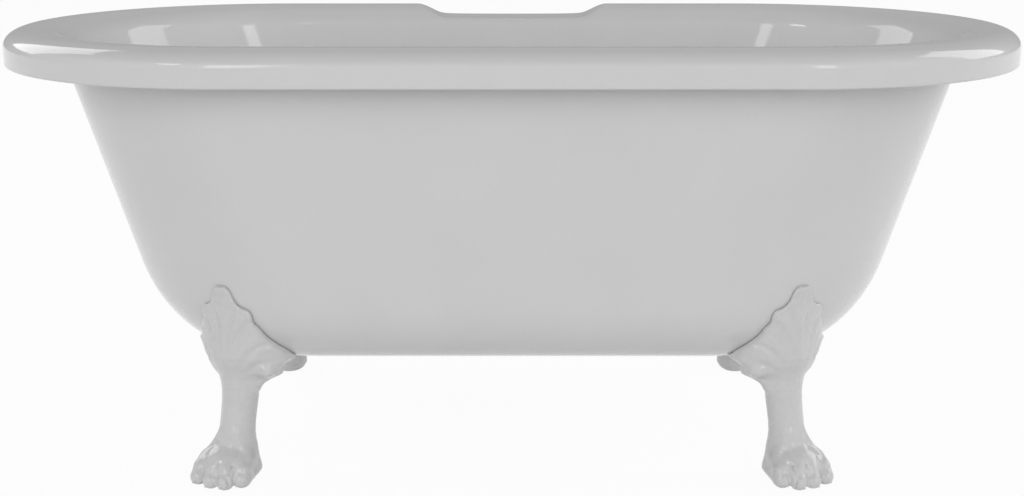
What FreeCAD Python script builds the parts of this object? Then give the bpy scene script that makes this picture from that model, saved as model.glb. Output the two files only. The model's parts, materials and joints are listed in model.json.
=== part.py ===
"""Clawfoot bathtub: a double-ended, double-skinned acrylic bath on four cast claw feet.

Millimetres, +Z up. The origin is on the floor under the middle of the bath. X runs along the bath, and the
tap deck is at the back, on the +Y side.
"""

import FreeCAD, Part
import math
import os

import Sketcher

V = FreeCAD.Vector
UP = V(0, 0, 1)
PARTS_FOLDER = "parts"

# Driving dimensions: alias, value, what it is. Lengths are in millimetres and angles in degrees.
DIMENSIONS = (
    ("tub_length", 1500, "overall length over the rolled rim"),
    ("tub_width", 750, "overall width over the rolled rim"),
    ("rim_height", 630, "crest of the rim above the floor"),
    ("lip_drop", 50, "crest of the rim down to the lower edge of its lip"),
    ("shoulder_rise", 24, "height of the rim's rounded outer shoulder"),
    ("crest_inset", 35, "outer face of the rim to its crest"),
    ("crest_land", 12, "width of the flat crest of the rim"),
    ("roll_end_width", 58, "width of the roll from the crest into the well at the ends"),
    ("roll_side_width", 44, "width of the roll from the crest into the well at the sides"),
    ("roll_drop", 36, "height of the roll from the crest into the well"),
    ("inner_wall", 6, "thickness of the inner shell"),
    ("deck_drop", 20, "crest of the rim down to the flat tap deck"),
    ("deck_flat", 250, "length of the flat tap deck"),
    ("deck_ramp", 29, "length of the ramp at each end of the tap deck"),
    ("deck_blend", 14, "radius where the tap deck meets its ramps"),
    ("well_floor", 216, "floor of the well above the floor of the room"),
    ("well_end_lean", 23, "lean of the well's ends"),
    ("well_side_lean", 8, "lean of the well's sides"),
    ("well_end_bend", 160, "radius between the well's ends and its floor"),
    ("well_side_bend", 90, "radius between the well's sides and its floor"),
    ("glass_wall", 4, "thickness of the glass-fibre layer"),
    ("glass_top", 565, "top edge of the glass-fibre layer above the floor"),
    ("bond_gap", 0.3, "clearance between curved pieces that are bonded or seated"),
    ("hull_base", 166.5, "underside of the outer shell above the floor"),
    ("hull_wall", 4, "thickness of the outer shell"),
    ("end_overhang", 87, "rim's outer face to the outer shell at the ends, at the lip's edge"),
    ("side_overhang", 50, "rim's outer face to the outer shell at the sides, at the lip's edge"),
    ("hull_end_lean", 17.4, "lean of the outer shell's ends"),
    ("hull_side_lean", 6.84, "lean of the outer shell's sides"),
    ("hull_end_bend", 230, "large radius low on the outer shell's ends"),
    ("hull_end_heel", 75, "small radius where those ends meet the underside"),
    ("hull_end_break", 46.5, "steepness at which the large radius gives way to the small one"),
    ("hull_side_bend", 110, "radius between the outer shell's sides and its underside"),
    ("foot_end_inset", 358, "rim's outer face to each foot, along the bath"),
    ("foot_side_inset", 137, "rim's outer face to each foot, across the bath"),
    ("bearer_inset", 53, "each foot back to the middle of its cross bearer, along the bath"),
    ("bearer_end_inset", 90, "each foot back to the end of its cross bearer, across the bath"),
    ("board_overlap", 36, "middle of a cross bearer to the end of the base board"),
    ("board_width", 240, "width of the base board"),
    ("board_thick", 18, "thickness of the base board"),
    ("board_hole", 110, "diameter of the hole in the base board for the waste"),
    ("board_slot", 56, "width of the slot in the base board for the hose"),
    ("bearer_width", 70, "width of each cross bearer"),
    ("bearer_screw_spacing", 160, "spacing of the screws along a bearer"),
    ("bearer_screw", 4.5, "diameter of the screws that hold a bearer"),
    ("bearer_screw_length", 30, "length of those screws"),
    ("foot_turn", 26, "turn of each foot outwards from straight across the bath"),
    ("leaf_thick", 9, "thickness of a foot's leaf over the outer shell"),
    ("leaf_height", 291, "tip of a foot's leaf above the floor"),
    ("leaf_half_width", 67, "middle of a foot's leaf to its widest point"),
    ("knee_reach", 33, "shank's middle to the foremost line of the foot's knee"),
    ("knee_back", 30, "shank's middle back to the rear of the knee's lobes"),
    ("scroll_height", 166, "middle of a foot's side scrolls above the floor"),
    ("scroll_radius", 16, "radius of a foot's side scrolls"),
    ("scroll_inset", 21, "edge of the leaf to the middle of a side scroll"),
    ("scroll_depth", 13, "half depth of a foot's side scrolls"),
    ("scroll_set_back", 7, "shank's middle back to the middle of a side scroll"),
    ("shank_radius", 26.5, "radius of a foot's shank at its waist"),
    ("shank_height", 115, "waist of a foot's shank above the floor"),
    ("shank_lean", 11, "how far the shank leans either way of its middle"),
    ("paw_width", 80, "width of a paw"),
    ("paw_height", 58, "height of a paw"),
    ("paw_reach", 58, "shank's middle to the tips of the toes"),
    ("toe_radius", 11, "radius of a toe's knuckle"),
    ("claw_radius", 5, "radius of a claw where it leaves its toe"),
    ("sole_lift", 1.5, "gap under the paw, which stands on its glide"),
    ("tongue_width", 52, "width of the tongue that bolts a foot to the bath"),
    ("tongue_thick", 9, "thickness of that tongue"),
    ("tongue_reach", 158, "shank's middle to the far end of the tongue"),
    ("saddle_reach", 84, "shank's middle to the end of the saddle under the outer shell"),
    ("bolt_near", 112, "shank's middle to the first foot bolt"),
    ("bolt_far", 142, "shank's middle to the second foot bolt"),
    ("bolt_diameter", 8, "diameter of a foot bolt"),
    ("bolt_grip", 14, "length of a foot bolt inside its insert"),
    ("bolt_head", 13, "width of a foot bolt's head across its flats"),
    ("bolt_head_height", 5.3, "height of a foot bolt's head"),
    ("washer_diameter", 22, "outer diameter of a foot bolt's washer"),
    ("washer_thick", 1.6, "thickness of a foot bolt's washer"),
    ("insert_diameter", 12, "outer diameter of the threaded insert in a bearer"),
    ("bolt_play", 0.5, "radial clearance of a bolt in a plain hole"),
    ("thread_play", 0.05, "radial clearance between a thread and its nut"),
    ("glide_offset", 12, "shank's middle to its glide, towards the toes"),
    ("glide_thread", 10, "diameter of a glide's threaded stem"),
    ("glide_stem", 44, "length of a glide's threaded stem"),
    ("glide_pad", 36, "diameter of a glide's pad"),
    ("glide_pad_thick", 5, "thickness of a glide's pad"),
    ("glide_bevel", 3, "bevel round the top of a glide's pad"),
    ("sole_bevel", 1, "bevel round the bottom of a glide's sole"),
    ("glide_sole_thick", 3, "thickness of the rubber sole under a glide's pad"),
    ("glide_nut", 17, "width of a glide's lock nut across its flats"),
    ("glide_nut_thick", 5, "thickness of a glide's lock nut"),
    ("nut_gap", 1, "gap between a glide's pad and its lock nut"),
    ("recess_play", 4, "radial clearance of a glide's pad in the paw's recess"),
    ("waste_hole", 52, "diameter of the waste hole in the well's floor"),
    ("waste_rim", 70, "diameter of the waste's flange"),
    ("waste_rim_thick", 2.5, "thickness of the waste's flange"),
    ("waste_bevel", 2.5, "width of the bevels round the waste's flange"),
    ("waste_neck", 46, "outer diameter of the waste flange's neck"),
    ("waste_neck_length", 20, "length of the waste flange's neck"),
    ("waste_bore", 38, "inner diameter of the waste"),
    ("waste_bar", 4, "width of the bars across the waste, and how far up the neck they start"),
    ("waste_bar_height", 10, "height of those bars"),
    ("waste_hub", 15, "diameter of the hub that guides the plug's stem"),
    ("waste_collar", 76, "diameter of the waste body's collar under the bath"),
    ("waste_collar_thick", 5, "thickness of that collar"),
    ("waste_body_diameter", 60, "outer diameter of the waste body"),
    ("waste_body_base", 152, "lower end of the waste body above the floor"),
    ("waste_tail", 47.8, "outer diameter of the waste's threaded tail"),
    ("waste_tail_length", 34, "length of the waste's threaded tail"),
    ("seal_thick", 2.4, "thickness of the flat rubber seals"),
    ("seal_inset", 2, "edge of a collar or rose to the edge of the seal under it"),
    ("service_hole", 84, "diameter of the hole in the outer shell for the waste"),
    ("plug_diameter", 64, "diameter of the pop-up plug"),
    ("plug_crown", 6, "height of the pop-up plug's crown"),
    ("plug_bevel", 1, "bevel round the pop-up plug's lower edge"),
    ("plug_stem_diameter", 8, "diameter of the pop-up plug's stem"),
    ("plug_stem_length", 46, "length of the pop-up plug's stem"),
    ("slide_play", 0.08, "radial clearance of the plug's stem in its guide"),
    ("plug_seal_diameter", 56, "outer diameter of the pop-up plug's rubber seal"),
    ("plug_seal_bore", 16, "inner diameter of the pop-up plug's rubber seal"),
    ("overflow_drop", 110, "crest of the rim down to the middle of the overflow"),
    ("overflow_hole", 46, "diameter of the overflow hole in the well's wall"),
    ("overflow_rose_diameter", 66, "diameter of the overflow's rose"),
    ("overflow_rose_thick", 3, "thickness of the overflow's rose"),
    ("rose_bevel", 2, "bevel round the overflow's rose"),
    ("rose_spoke", 4, "width of the spokes across the overflow's rose"),
    ("rose_hub", 16, "diameter of the hub that holds the dial's spindle"),
    ("overflow_neck", 42, "outer diameter of the overflow rose's neck"),
    ("overflow_neck_wall", 3, "thickness of that neck"),
    ("overflow_body_diameter", 62, "outer diameter of the overflow body"),
    ("overflow_body_depth", 25.6, "depth of the overflow body behind the wall"),
    ("overflow_body_wall", 3, "thickness of the overflow body's walls"),
    ("dial_diameter", 58, "diameter of the overflow dial"),
    ("dial_depth", 15, "depth of the overflow dial"),
    ("dial_wall", 3, "thickness of the overflow dial's shell"),
    ("dial_stand", 6, "gap between the rose and the dial, where the water runs in"),
    ("dial_bevel", 2, "bevel round the overflow dial's face"),
    ("spindle_reach", 10, "how far the dial's spindle reaches in behind the well's wall"),
    ("spindle_diameter", 8, "diameter of the dial's spindle"),
    ("hose_diameter", 28, "outer diameter of the overflow hose"),
    ("hose_bore", 22, "inner diameter of the overflow hose"),
    ("hose_play", 0.3, "radial clearance of the hose over its spigots"),
    ("hose_bend", 100, "radius of the hose's bend under the well"),
    ("hose_height", 190, "middle of the hose's lower run above the floor"),
    ("spigot_length", 16, "length of the spigots that the hose slips over"),
    ("spigot_bore", 17, "inner diameter of those spigots"),
    ("clip_width", 9, "width of a hose clip"),
    ("clip_thick", 0.8, "thickness of a hose clip's band"),
    ("clip_worm", 9, "width of a hose clip's worm housing"),
    ("clip_inset", 4, "end of the hose to its clip"),
    ("clip_bite", 1, "how far a clip's worm housing reaches in through its band"),
    ("cable_diameter", 3, "diameter of the pop-up control cable"),
    ("cable_stand", 6, "hose's outer face to the middle of the control cable"),
    ("cable_boss", 7, "diameter of the bosses that hold the ends of the control cable"),
)

doc = FreeCAD.newDocument("clawfoot_bathtub")
sheet = doc.addObject("Spreadsheet::Sheet", "Dims")
for row, (alias, value, note) in enumerate(DIMENSIONS, 1):
    sheet.set(f"A{row}", alias)
    sheet.set(f"B{row}", str(value))
    sheet.setAlias(f"B{row}", alias)
    sheet.set(f"C{row}", note)
doc.recompute()

nodes = []

# Places that follow from the sizes above, from the middle of the bath.
FOOT_X = "(tub_length / 2 - foot_end_inset)"
FOOT_Y = "(tub_width / 2 - foot_side_inset)"
BEARER_X = f"({FOOT_X} - bearer_inset)"
BEARER_LENGTH = f"2 * ({FOOT_Y} - bearer_end_inset)"
BOARD_LENGTH = f"2 * ({BEARER_X} + board_overlap)"


def dim(alias):
    """The value of one cell of the sheet."""
    return float(getattr(sheet, alias))


def full(expression):
    """An expression over the sheet's aliases, with each alias written as the sheet's own cell."""
    words = sorted((alias for alias, _, _ in DIMENSIONS), key=len, reverse=True)
    out, place = "", 0
    while place < len(expression):
        starts_word = place == 0 or not (expression[place - 1].isalnum() or expression[place - 1] in "_.")
        match = next((w for w in words if starts_word and expression.startswith(w, place)), None)
        if match and not (expression[place + len(match):place + len(match) + 1] or " ").isidentifier():
            out += "Dims." + match
            place += len(match)
        else:
            out += expression[place]
            place += 1
    return out


def number(expression):
    """The number that an expression over the sheet's aliases gives."""
    result = sheet.evalExpression(full(expression))
    return float(getattr(result, "Value", result))


def bind(thing, prop, expression):
    thing.setExpression(prop, full(expression))


def keep(thing, label):
    """Names an object as one sub-part of the bath."""
    thing.Label = label
    nodes.append(thing)
    return thing


def put(thing, x="0", y="0", z="0"):
    """Binds an object's place to expressions."""
    for axis, expression in zip("xyz", (x, y, z)):
        bind(thing, f"Placement.Base.{axis}", expression)
    return thing


def feature(label, shape, placement=None):
    """A sub-part whose form comes from curves that no single feature gives."""
    thing = doc.addObject("Part::Feature", label)
    thing.Shape = shape
    if placement is not None:
        thing.Placement = placement
    return keep(thing, label)


def sketch_outline(body, name, plane, corners):
    """A closed sketch of straight lines, whose corners are bound to expressions for right and up."""
    sketch = body.newObject("Sketcher::SketchObject", name)
    origin_plane = [f for f in body.Origin.OriginFeatures if f.Role == plane][0]
    sketch.AttachmentSupport = [(origin_plane, "")]
    sketch.MapMode = "FlatFace"
    spots = [V(number(right), number(up), 0) for right, up in corners]
    for spot, following in zip(spots, spots[1:] + spots[:1]):
        sketch.addGeometry(Part.LineSegment(spot, following), False)
    count = len(corners)
    for line in range(count):
        sketch.addConstraint(Sketcher.Constraint("Coincident", line, 2, (line + 1) % count, 1))
    for line, (corner, spot) in enumerate(zip(corners, spots)):
        for kind, zero_axis, expression, value in (
            ("DistanceX", -2, corner[0], spot.x),
            ("DistanceY", -1, corner[1], spot.y),
        ):
            if expression == "0":
                sketch.addConstraint(Sketcher.Constraint("PointOnObject", line, 1, zero_axis))
                continue
            index = sketch.addConstraint(Sketcher.Constraint(kind, -1, 1, line, 1, value))
            bind(sketch, f"Constraints[{index}]", expression)
    return sketch


def turned(label, corners, x="0", y="0", z="0"):
    """A round piece: an outline of radius and height, turned about a vertical axis."""
    body = doc.addObject("PartDesign::Body", label)
    outline = sketch_outline(body, label + "_outline", "XZ_Plane", corners)
    turn = body.newObject("PartDesign::Revolution", label + "_turn")
    turn.Profile = outline
    turn.ReferenceAxis = (outline, ["V_Axis"])
    turn.Angle = 360
    outline.Visibility = False
    put(body, x, y, z)
    return body


def ring(label, outer, inner, height, x="0", y="0", z="0"):
    """A flat ring, given by its diameters and its height."""
    outer_edge, inner_edge = f"({outer}) / 2", f"({inner}) / 2"
    corners = [(inner_edge, "0"), (outer_edge, "0"), (outer_edge, height), (inner_edge, height)]
    return turned(label, corners, x, y, z)


def rod(name, diameter, height, x="0", y="0", z="0"):
    """An upright cylinder."""
    thing = doc.addObject("Part::Cylinder", name)
    bind(thing, "Radius", f"({diameter}) / 2")
    bind(thing, "Height", height)
    return put(thing, x, y, z)


def block(name, length, width, height, x="0", y="0", z="0"):
    """A box, centred on its place in X and Y and standing on it in Z."""
    thing = doc.addObject("Part::Box", name)
    bind(thing, "Length", length)
    bind(thing, "Width", width)
    bind(thing, "Height", height)
    return put(thing, f"({x}) - ({length}) / 2", f"({y}) - ({width}) / 2", z)


def hexagon(name, across_flats, height, x="0", y="0", z="0"):
    """An upright hexagonal prism."""
    thing = doc.addObject("Part::Prism", name)
    thing.Polygon = 6
    bind(thing, "Circumradius", f"({across_flats}) / sqrt(3)")
    bind(thing, "Height", height)
    return put(thing, x, y, z)


def fuse(name, pieces):
    thing = doc.addObject("Part::MultiFuse", name)
    thing.Shapes = pieces
    thing.Refine = True
    return thing


def cut(name, base, tools):
    """Takes several pieces out of another."""
    tool = tools[0] if len(tools) == 1 else fuse(name + "_tools", tools)
    thing = doc.addObject("Part::Cut", name)
    thing.Base = base
    thing.Tool = tool
    return thing


def group(label, master, spots):
    """Equal pieces at several spots, as separate solids of one sub-part."""
    doc.recompute()
    shapes = []
    for spot in spots:
        shape = master.Shape.copy()
        shape.translate(spot)
        shapes.append(shape)
    return feature(label, Part.makeCompound(shapes))


# The two skins. Each is a stack of level outlines with straight sides and round ends. A wall leans outwards
# going up, and is tangent to the bends at its foot.


def stadium(half_length, half_width, level):
    """A level outline with straight sides and semicircular ends."""
    straight = half_length - half_width
    right_front, right_back = V(straight, -half_width, level), V(straight, half_width, level)
    left_front, left_back = V(-straight, -half_width, level), V(-straight, half_width, level)
    return Part.Wire([
        Part.LineSegment(left_front, right_front).toShape(),
        Part.Arc(right_front, V(half_length, 0, level), right_back).toShape(),
        Part.LineSegment(right_back, left_back).toShape(),
        Part.Arc(left_back, V(-half_length, 0, level), left_front).toShape(),
    ])


def stack(*runs):
    """The solid through runs of level outlines, each given as half length, half width and level.

    Each run is one smooth skin, and the next run starts from its last outline.
    """
    parts = [Part.makeLoft([stadium(*section) for section in run], True, False) for run in runs]
    return parts[0].fuse(parts[1:]) if len(parts) > 1 else parts[0]


def leaning_half(level, known_half, known_level, lean, base, bend, heel, break_angle):
    """Half size, at a level, of a wall that leans and then bends down to a flat base.

    The wall passes through the known half size at the known level. It bends with the large radius down to
    the break angle, and with the heel's radius from there to the base.
    """
    slope, turn = math.radians(lean), math.radians(break_angle)
    bend_level = base + heel + (bend - heel) * math.sin(turn)
    tangent_level = bend_level - bend * math.sin(slope)
    if level >= tangent_level:
        return known_half - (known_level - level) * math.tan(slope)
    tangent_half = known_half - (known_level - tangent_level) * math.tan(slope)
    bend_half = tangent_half - bend * math.cos(slope)
    if level >= bend_level - bend * math.sin(turn):
        return bend_half + math.sqrt(max(0, bend ** 2 - (bend_level - level) ** 2))
    heel_half = bend_half + (bend - heel) * math.cos(turn)
    return heel_half + math.sqrt(max(0, heel ** 2 - (base + heel - level) ** 2))


BEND_STEPS = 9
ROLL_STEPS = 8


def spread(first, last, steps):
    """Equally spaced angles, in radians, from one angle in degrees to another."""
    return [math.radians(first + (last - first) * step / steps) for step in range(steps + 1)]


def roll_meet(roll_width, lean, offset):
    """Where the rim's roll meets the well's leaning wall: inwards from the roll's outer end, and level."""
    across, upright = roll_width - offset, dim("roll_drop") - offset
    meet = math.atan(upright / across * math.tan(math.radians(lean)))
    level = dim("rim_height") - dim("roll_drop") + upright * math.sin(meet)
    return across * math.cos(meet), level


def well_half(level, overall, roll_width, lean, bend, offset):
    """Half size, at a level, of the bathing well or of a surface outside it by the offset."""
    roll_half = overall / 2 - dim("crest_inset") - dim("crest_land")
    roll_level = dim("rim_height") - dim("roll_drop")
    meet_inset, meet_level = roll_meet(roll_width, lean, offset)
    if level >= meet_level:
        rise = (level - roll_level) / (dim("roll_drop") - offset)
        return roll_half - (roll_width - offset) * math.sqrt(max(0, 1 - rise ** 2))
    base = dim("well_floor") - offset
    return leaning_half(
        level, roll_half - meet_inset, meet_level, lean, base, bend + offset, bend + offset, 90)


def well_ends(level, offset):
    return well_half(
        level, dim("tub_length"), dim("roll_end_width"), dim("well_end_lean"), dim("well_end_bend"), offset)


def well_sides(level, offset):
    return well_half(
        level, dim("tub_width"), dim("roll_side_width"), dim("well_side_lean"), dim("well_side_bend"), offset)


def well_solid(offset):
    """The space of the bathing well, grown outwards and down by an offset."""
    base, bend = dim("well_floor") - offset, dim("well_end_bend") + offset
    bends = [base + bend * (1 - math.sin(angle)) for angle in spread(90, dim("well_end_lean"), BEND_STEPS)]
    roll_level, roll_rise = dim("rim_height") - dim("roll_drop"), dim("roll_drop") - offset
    wall_top = roll_meet(dim("roll_side_width"), dim("well_side_lean"), offset)[1]
    first_angle = math.degrees(math.asin((wall_top - roll_level) / roll_rise))
    rolls = [roll_level + roll_rise * math.sin(angle) for angle in spread(first_angle, 90, ROLL_STEPS)]
    runs = [bends, [bends[-1], rolls[0]], rolls]
    return stack(*[[(well_ends(z, offset), well_sides(z, offset), z) for z in run] for run in runs])


def rim_solid(offset, bottom):
    """The block under the rim's top and inside its outer face, shrunk by an offset."""
    shoulder_level = dim("rim_height") - dim("shoulder_rise")
    across, upright = dim("crest_inset") - offset, dim("shoulder_rise") - offset
    half_length, half_width = dim("tub_length") / 2 - offset, dim("tub_width") / 2 - offset
    skirt_outline = stadium(half_length, half_width, bottom)
    skirt = Part.Face(skirt_outline).extrude(UP * (shoulder_level - bottom))
    sections = []
    for step in (0, 15, 30, 45, 60, 75, 90):
        inset = across * (1 - math.cos(math.radians(step)))
        level = shoulder_level + upright * math.sin(math.radians(step))
        sections.append((half_length - inset, half_width - inset, level))
    return skirt.fuse(stack(sections))


def deck_solid(offset):
    """What the tap deck takes out of the rim at the back, grown downwards by an offset."""
    flat_half = dim("deck_flat") / 2
    deck_level = dim("rim_height") - dim("deck_drop") - offset
    slope = math.atan2(dim("deck_drop"), dim("deck_ramp"))
    foot = flat_half + offset * math.tan(slope / 2)
    rise = 2 * dim("deck_drop")
    front, back = dim("tub_width") / 4, dim("tub_width")
    corners = [
        V(-foot - rise / math.tan(slope), front, deck_level + rise),
        V(-foot, front, deck_level),
        V(foot, front, deck_level),
        V(foot + rise / math.tan(slope), front, deck_level + rise),
    ]
    outline = Part.Face(Part.makePolygon(corners + corners[:1]))
    prism = outline.extrude(V(0, back - front, 0))
    lower_edges = [e for e in prism.Edges if e.BoundBox.XLength < 1 and e.BoundBox.ZMax < deck_level + 1]
    return prism.makeFillet(dim("deck_blend"), lower_edges)


HEEL_STEPS = 4
HAUNCH_STEPS = 8


def hull_half(level, overall, overhang, lean, bend, heel, break_angle, offset):
    """Half size, at a level, of the outer shell or of a surface outside it by the offset."""
    known_half = overall / 2 - overhang + offset / math.cos(math.radians(lean))
    known_level = dim("rim_height") - dim("lip_drop")
    base = dim("hull_base") - offset
    return leaning_half(level, known_half, known_level, lean, base, bend + offset, heel + offset, break_angle)


def hull_section(level, offset):
    """Half length, half width and level of one outline of the outer shell."""
    half_length = hull_half(
        level, dim("tub_length"), dim("end_overhang"), dim("hull_end_lean"),
        dim("hull_end_bend"), dim("hull_end_heel"), dim("hull_end_break"), offset)
    half_width = hull_half(
        level, dim("tub_width"), dim("side_overhang"), dim("hull_side_lean"),
        dim("hull_side_bend"), dim("hull_side_bend"), 90, offset)
    return half_length, half_width, level


def hull_solid(offset):
    """The space inside the outer shell's outer face, grown outwards and down by an offset."""
    base, top = dim("hull_base") - offset, dim("rim_height") + dim("shoulder_rise")
    heel, bend = dim("hull_end_heel") + offset, dim("hull_end_bend") + offset
    turn, lean = dim("hull_end_break"), dim("hull_end_lean")
    bend_level = base + heel + (bend - heel) * math.sin(math.radians(turn))
    levels = [base + heel * (1 - math.sin(angle)) for angle in spread(90, turn, HEEL_STEPS)]
    levels += [bend_level - bend * math.sin(angle) for angle in spread(turn, lean, HAUNCH_STEPS)[1:]]
    runs = [levels, [levels[-1], top]]
    return stack(*[[hull_section(level, offset) for level in run] for run in runs])


def upright_hole(diameter, x, y, bottom, top):
    """A cylinder that cuts an upright hole."""
    return Part.makeCylinder(diameter / 2, top - bottom, V(x, y, bottom))


# The overflow sits on the well's back wall. Its own frame has +Z into the well and +Y up the wall.
OVERFLOW_LEVEL = dim("rim_height") - dim("overflow_drop")
OVERFLOW = FreeCAD.Placement(
    V(0, well_sides(OVERFLOW_LEVEL, 0), OVERFLOW_LEVEL),
    FreeCAD.Rotation(V(1, 0, 0), 90 - dim("well_side_lean")))


def inner_shell():
    """Basin, rolled rim, lip and tap deck in one moulding."""
    wall = dim("inner_wall")
    lip_level = dim("rim_height") - dim("lip_drop")
    outside = rim_solid(0, lip_level).cut(deck_solid(0))
    underside = rim_solid(wall, lip_level - 1).cut(deck_solid(wall))
    basin = well_solid(wall).cut(deck_solid(0))
    shape = outside.cut(underside).fuse(basin).cut(well_solid(0))
    floor = dim("well_floor")
    shape = shape.cut(upright_hole(dim("waste_hole"), 0, 0, floor - 2 * wall, floor + wall))
    return feature("inner_shell", shape.cut(overflow_tool(dim("overflow_hole"))))


def overflow_tool(diameter):
    """A cylinder through both layers of the well's wall at the overflow."""
    depth = dim("inner_wall") + dim("glass_wall")
    tool = Part.makeCylinder(diameter / 2, 4 * depth, V(0, 0, -2 * depth))
    tool.Placement = OVERFLOW
    return tool


def reinforcement_layer():
    """Glass-fibre layer laid up on the outside of the basin."""
    inside = dim("inner_wall") + dim("bond_gap")
    outside = inside + dim("glass_wall")
    shape = well_solid(outside).cut(well_solid(inside))
    top = dim("rim_height")
    reach = dim("tub_length")
    above = Part.makeBox(2 * reach, 2 * reach, top, V(-reach, -reach, dim("glass_top")))
    shape = shape.cut(above)
    floor = dim("well_floor")
    shape = shape.cut(upright_hole(dim("waste_hole"), 0, 0, floor - 3 * outside, floor))
    return feature("reinforcement_layer", shape.cut(overflow_tool(dim("overflow_hole"))))


def outer_shell():
    """Outer skin, from the rim's underside to its flat bottom, with holes for the waste and the bolts."""
    clear = dim("inner_wall") + dim("bond_gap")
    shape = hull_solid(0).cut(hull_solid(-dim("hull_wall")))
    under_rim = rim_solid(clear, dim("hull_base") - 1).cut(deck_solid(clear))
    shape = shape.common(under_rim).cut(well_solid(clear))
    bottom, top = dim("hull_base") - 1, dim("hull_base") + 2 * dim("hull_wall")
    shape = shape.cut(upright_hole(dim("service_hole"), 0, 0, bottom, top))
    for spot in BOLT_SPOTS:
        shape = shape.cut(upright_hole(BOLT_HOLE, spot.x, spot.y, bottom, top))
    return feature("outer_shell", shape)


# Each foot has its own frame: its origin is on the floor under the shank, and -Y points to the toes.
FOOT_SIGNS = {
    "front_left": (-1, -1),
    "front_right": (1, -1),
    "rear_left": (-1, 1),
    "rear_right": (1, 1),
}


def foot_spot(signs, inwards):
    """A spot on the floor on a foot's middle line, some way in from its shank."""
    turn = math.radians(dim("foot_turn"))
    x = number(FOOT_X) - inwards * math.sin(turn)
    y = number(FOOT_Y) - inwards * math.cos(turn)
    return V(signs[0] * x, signs[1] * y, 0)


FRONT_LEFT = FreeCAD.Placement(
    foot_spot(FOOT_SIGNS["front_left"], 0), FreeCAD.Rotation(UP, -dim("foot_turn")))
BOLT_REACHES = (dim("bolt_near"), dim("bolt_far"))
BOLT_SPOTS = [foot_spot(signs, reach) for signs in FOOT_SIGNS.values() for reach in BOLT_REACHES]
BOLT_HOLE = dim("bolt_diameter") + 2 * dim("bolt_play")
TONGUE_TOP = "hull_base - bond_gap"


# The leaf's outline from its tip down: share of its half width, and of its rise over the scrolls.
LEAF_OUTLINE = (
    (0, 1), (0.12, 1), (0.25, 0.87), (0.45, 0.75), (0.6, 0.73), (0.62, 0.58), (0.72, 0.51), (0.78, 0.4),
    (1, 0.22), (0.98, 0.11), (0.85, 0.03), (0.85, -0.05), (0.55, -0.16), (0.35, -0.26),
)
# Level sections of the knee: share of the leaf's rise, share of its half width, and how far its edge,
# the middle of its flank and its ridge stand forward, as shares of the knee's reach.
KNEE = (
    (1.02, 0.4, 0.92, 0.99, 1.05),
    (0.85, 0.6, 0.68, 0.78, 0.84),
    (0.62, 0.85, 0.42, 0.72, 0.87),
    (0.39, 1.0, -0.15, 0.6, 0.93),
    (0.16, 1.1, -0.6, 0.5, 1.0),
    (-0.03, 1.0, -0.6, 0.42, 0.92),
    (-0.17, 0.8, -0.5, 0.3, 0.7),
    (-0.3, 0.5, -0.4, 0.1, 0.5),
)
# The shank from the paw up to the bath: share of its waist's height, of its radius, and of its lean forward.
SHANK = (
    (0.26, 1.13, 0.73), (0.5, 1.06, 0.45), (0.75, 1, 0),
    (1, 1, -0.45), (1.3, 1.02, -0.73), (1.65, 1.1, -0.73),
)


def leaf_height_at(share):
    """Height above the floor at a share of the leaf's rise over its scrolls."""
    return dim("scroll_height") + share * (dim("leaf_height") - dim("scroll_height"))


def leaf_prism():
    """The leaf's outline as a prism that reaches through the corner of the outer shell."""
    half = [(across * dim("leaf_half_width"), leaf_height_at(up)) for across, up in LEAF_OUTLINE]
    front, depth = -2 * dim("knee_reach"), 2 * dim("leaf_half_width")
    corners = [V(x, front, z) for x, z in half] + [V(-x, front, z) for x, z in reversed(half[1:])]
    return Part.Face(Part.makePolygon(corners + corners[:1])).extrude(V(0, depth, 0))


def knee():
    """The knee behind the leaf's face: its ridge stands plumb, and its flanks fall back to the shell."""
    reach, back = dim("knee_reach"), dim("knee_back")
    wires = []
    for up, across, edge, flank, ridge in reversed(KNEE):
        z, half = leaf_height_at(up), across * dim("leaf_half_width")
        front = [
            V(-half, -edge * reach, z), V(-half / 2, -flank * reach, z), V(0, -ridge * reach, z),
            V(half / 2, -flank * reach, z), V(half, -edge * reach, z)]
        face = Part.BSplineCurve()
        face.interpolate(front)
        rear = [V(half, back, z), V(-half, back, z)]
        sides = [Part.makeLine(a, b) for a, b in zip(front[-1:] + rear, rear + front[:1])]
        wires.append(Part.Wire([face.toShape()] + sides))
    return Part.makeLoft(wires, True, False)


def toe(side_place, root, tip):
    """One toe: a knuckle that tapers to its tip, with a claw curving down out of it."""
    radius = dim("toe_radius")
    knuckle, end = V(side_place, root, 2.1 * radius), V(side_place * 1.06, tip + 0.8 * radius, radius)
    along = end - knuckle
    bone = Part.makeCone(1.25 * radius, 0.85 * radius, along.Length, knuckle, along)
    claw_length = 0.9 * radius
    claw = Part.makeCone(dim("claw_radius"), 1, claw_length, end + V(0, -0.4 * radius, 0), V(0, -1, -0.75))
    return bone.fuse([
        Part.makeSphere(1.25 * radius, knuckle), Part.makeSphere(0.85 * radius, end), claw])


def ellipsoid(centre, x_radius, y_radius, z_radius):
    shape = Part.makeSphere(1)
    scale = FreeCAD.Matrix()
    scale.A11, scale.A22, scale.A33 = x_radius, y_radius, z_radius
    scale.A14, scale.A24, scale.A34 = centre.x, centre.y, centre.z
    return shape.transformGeometry(scale)


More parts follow.
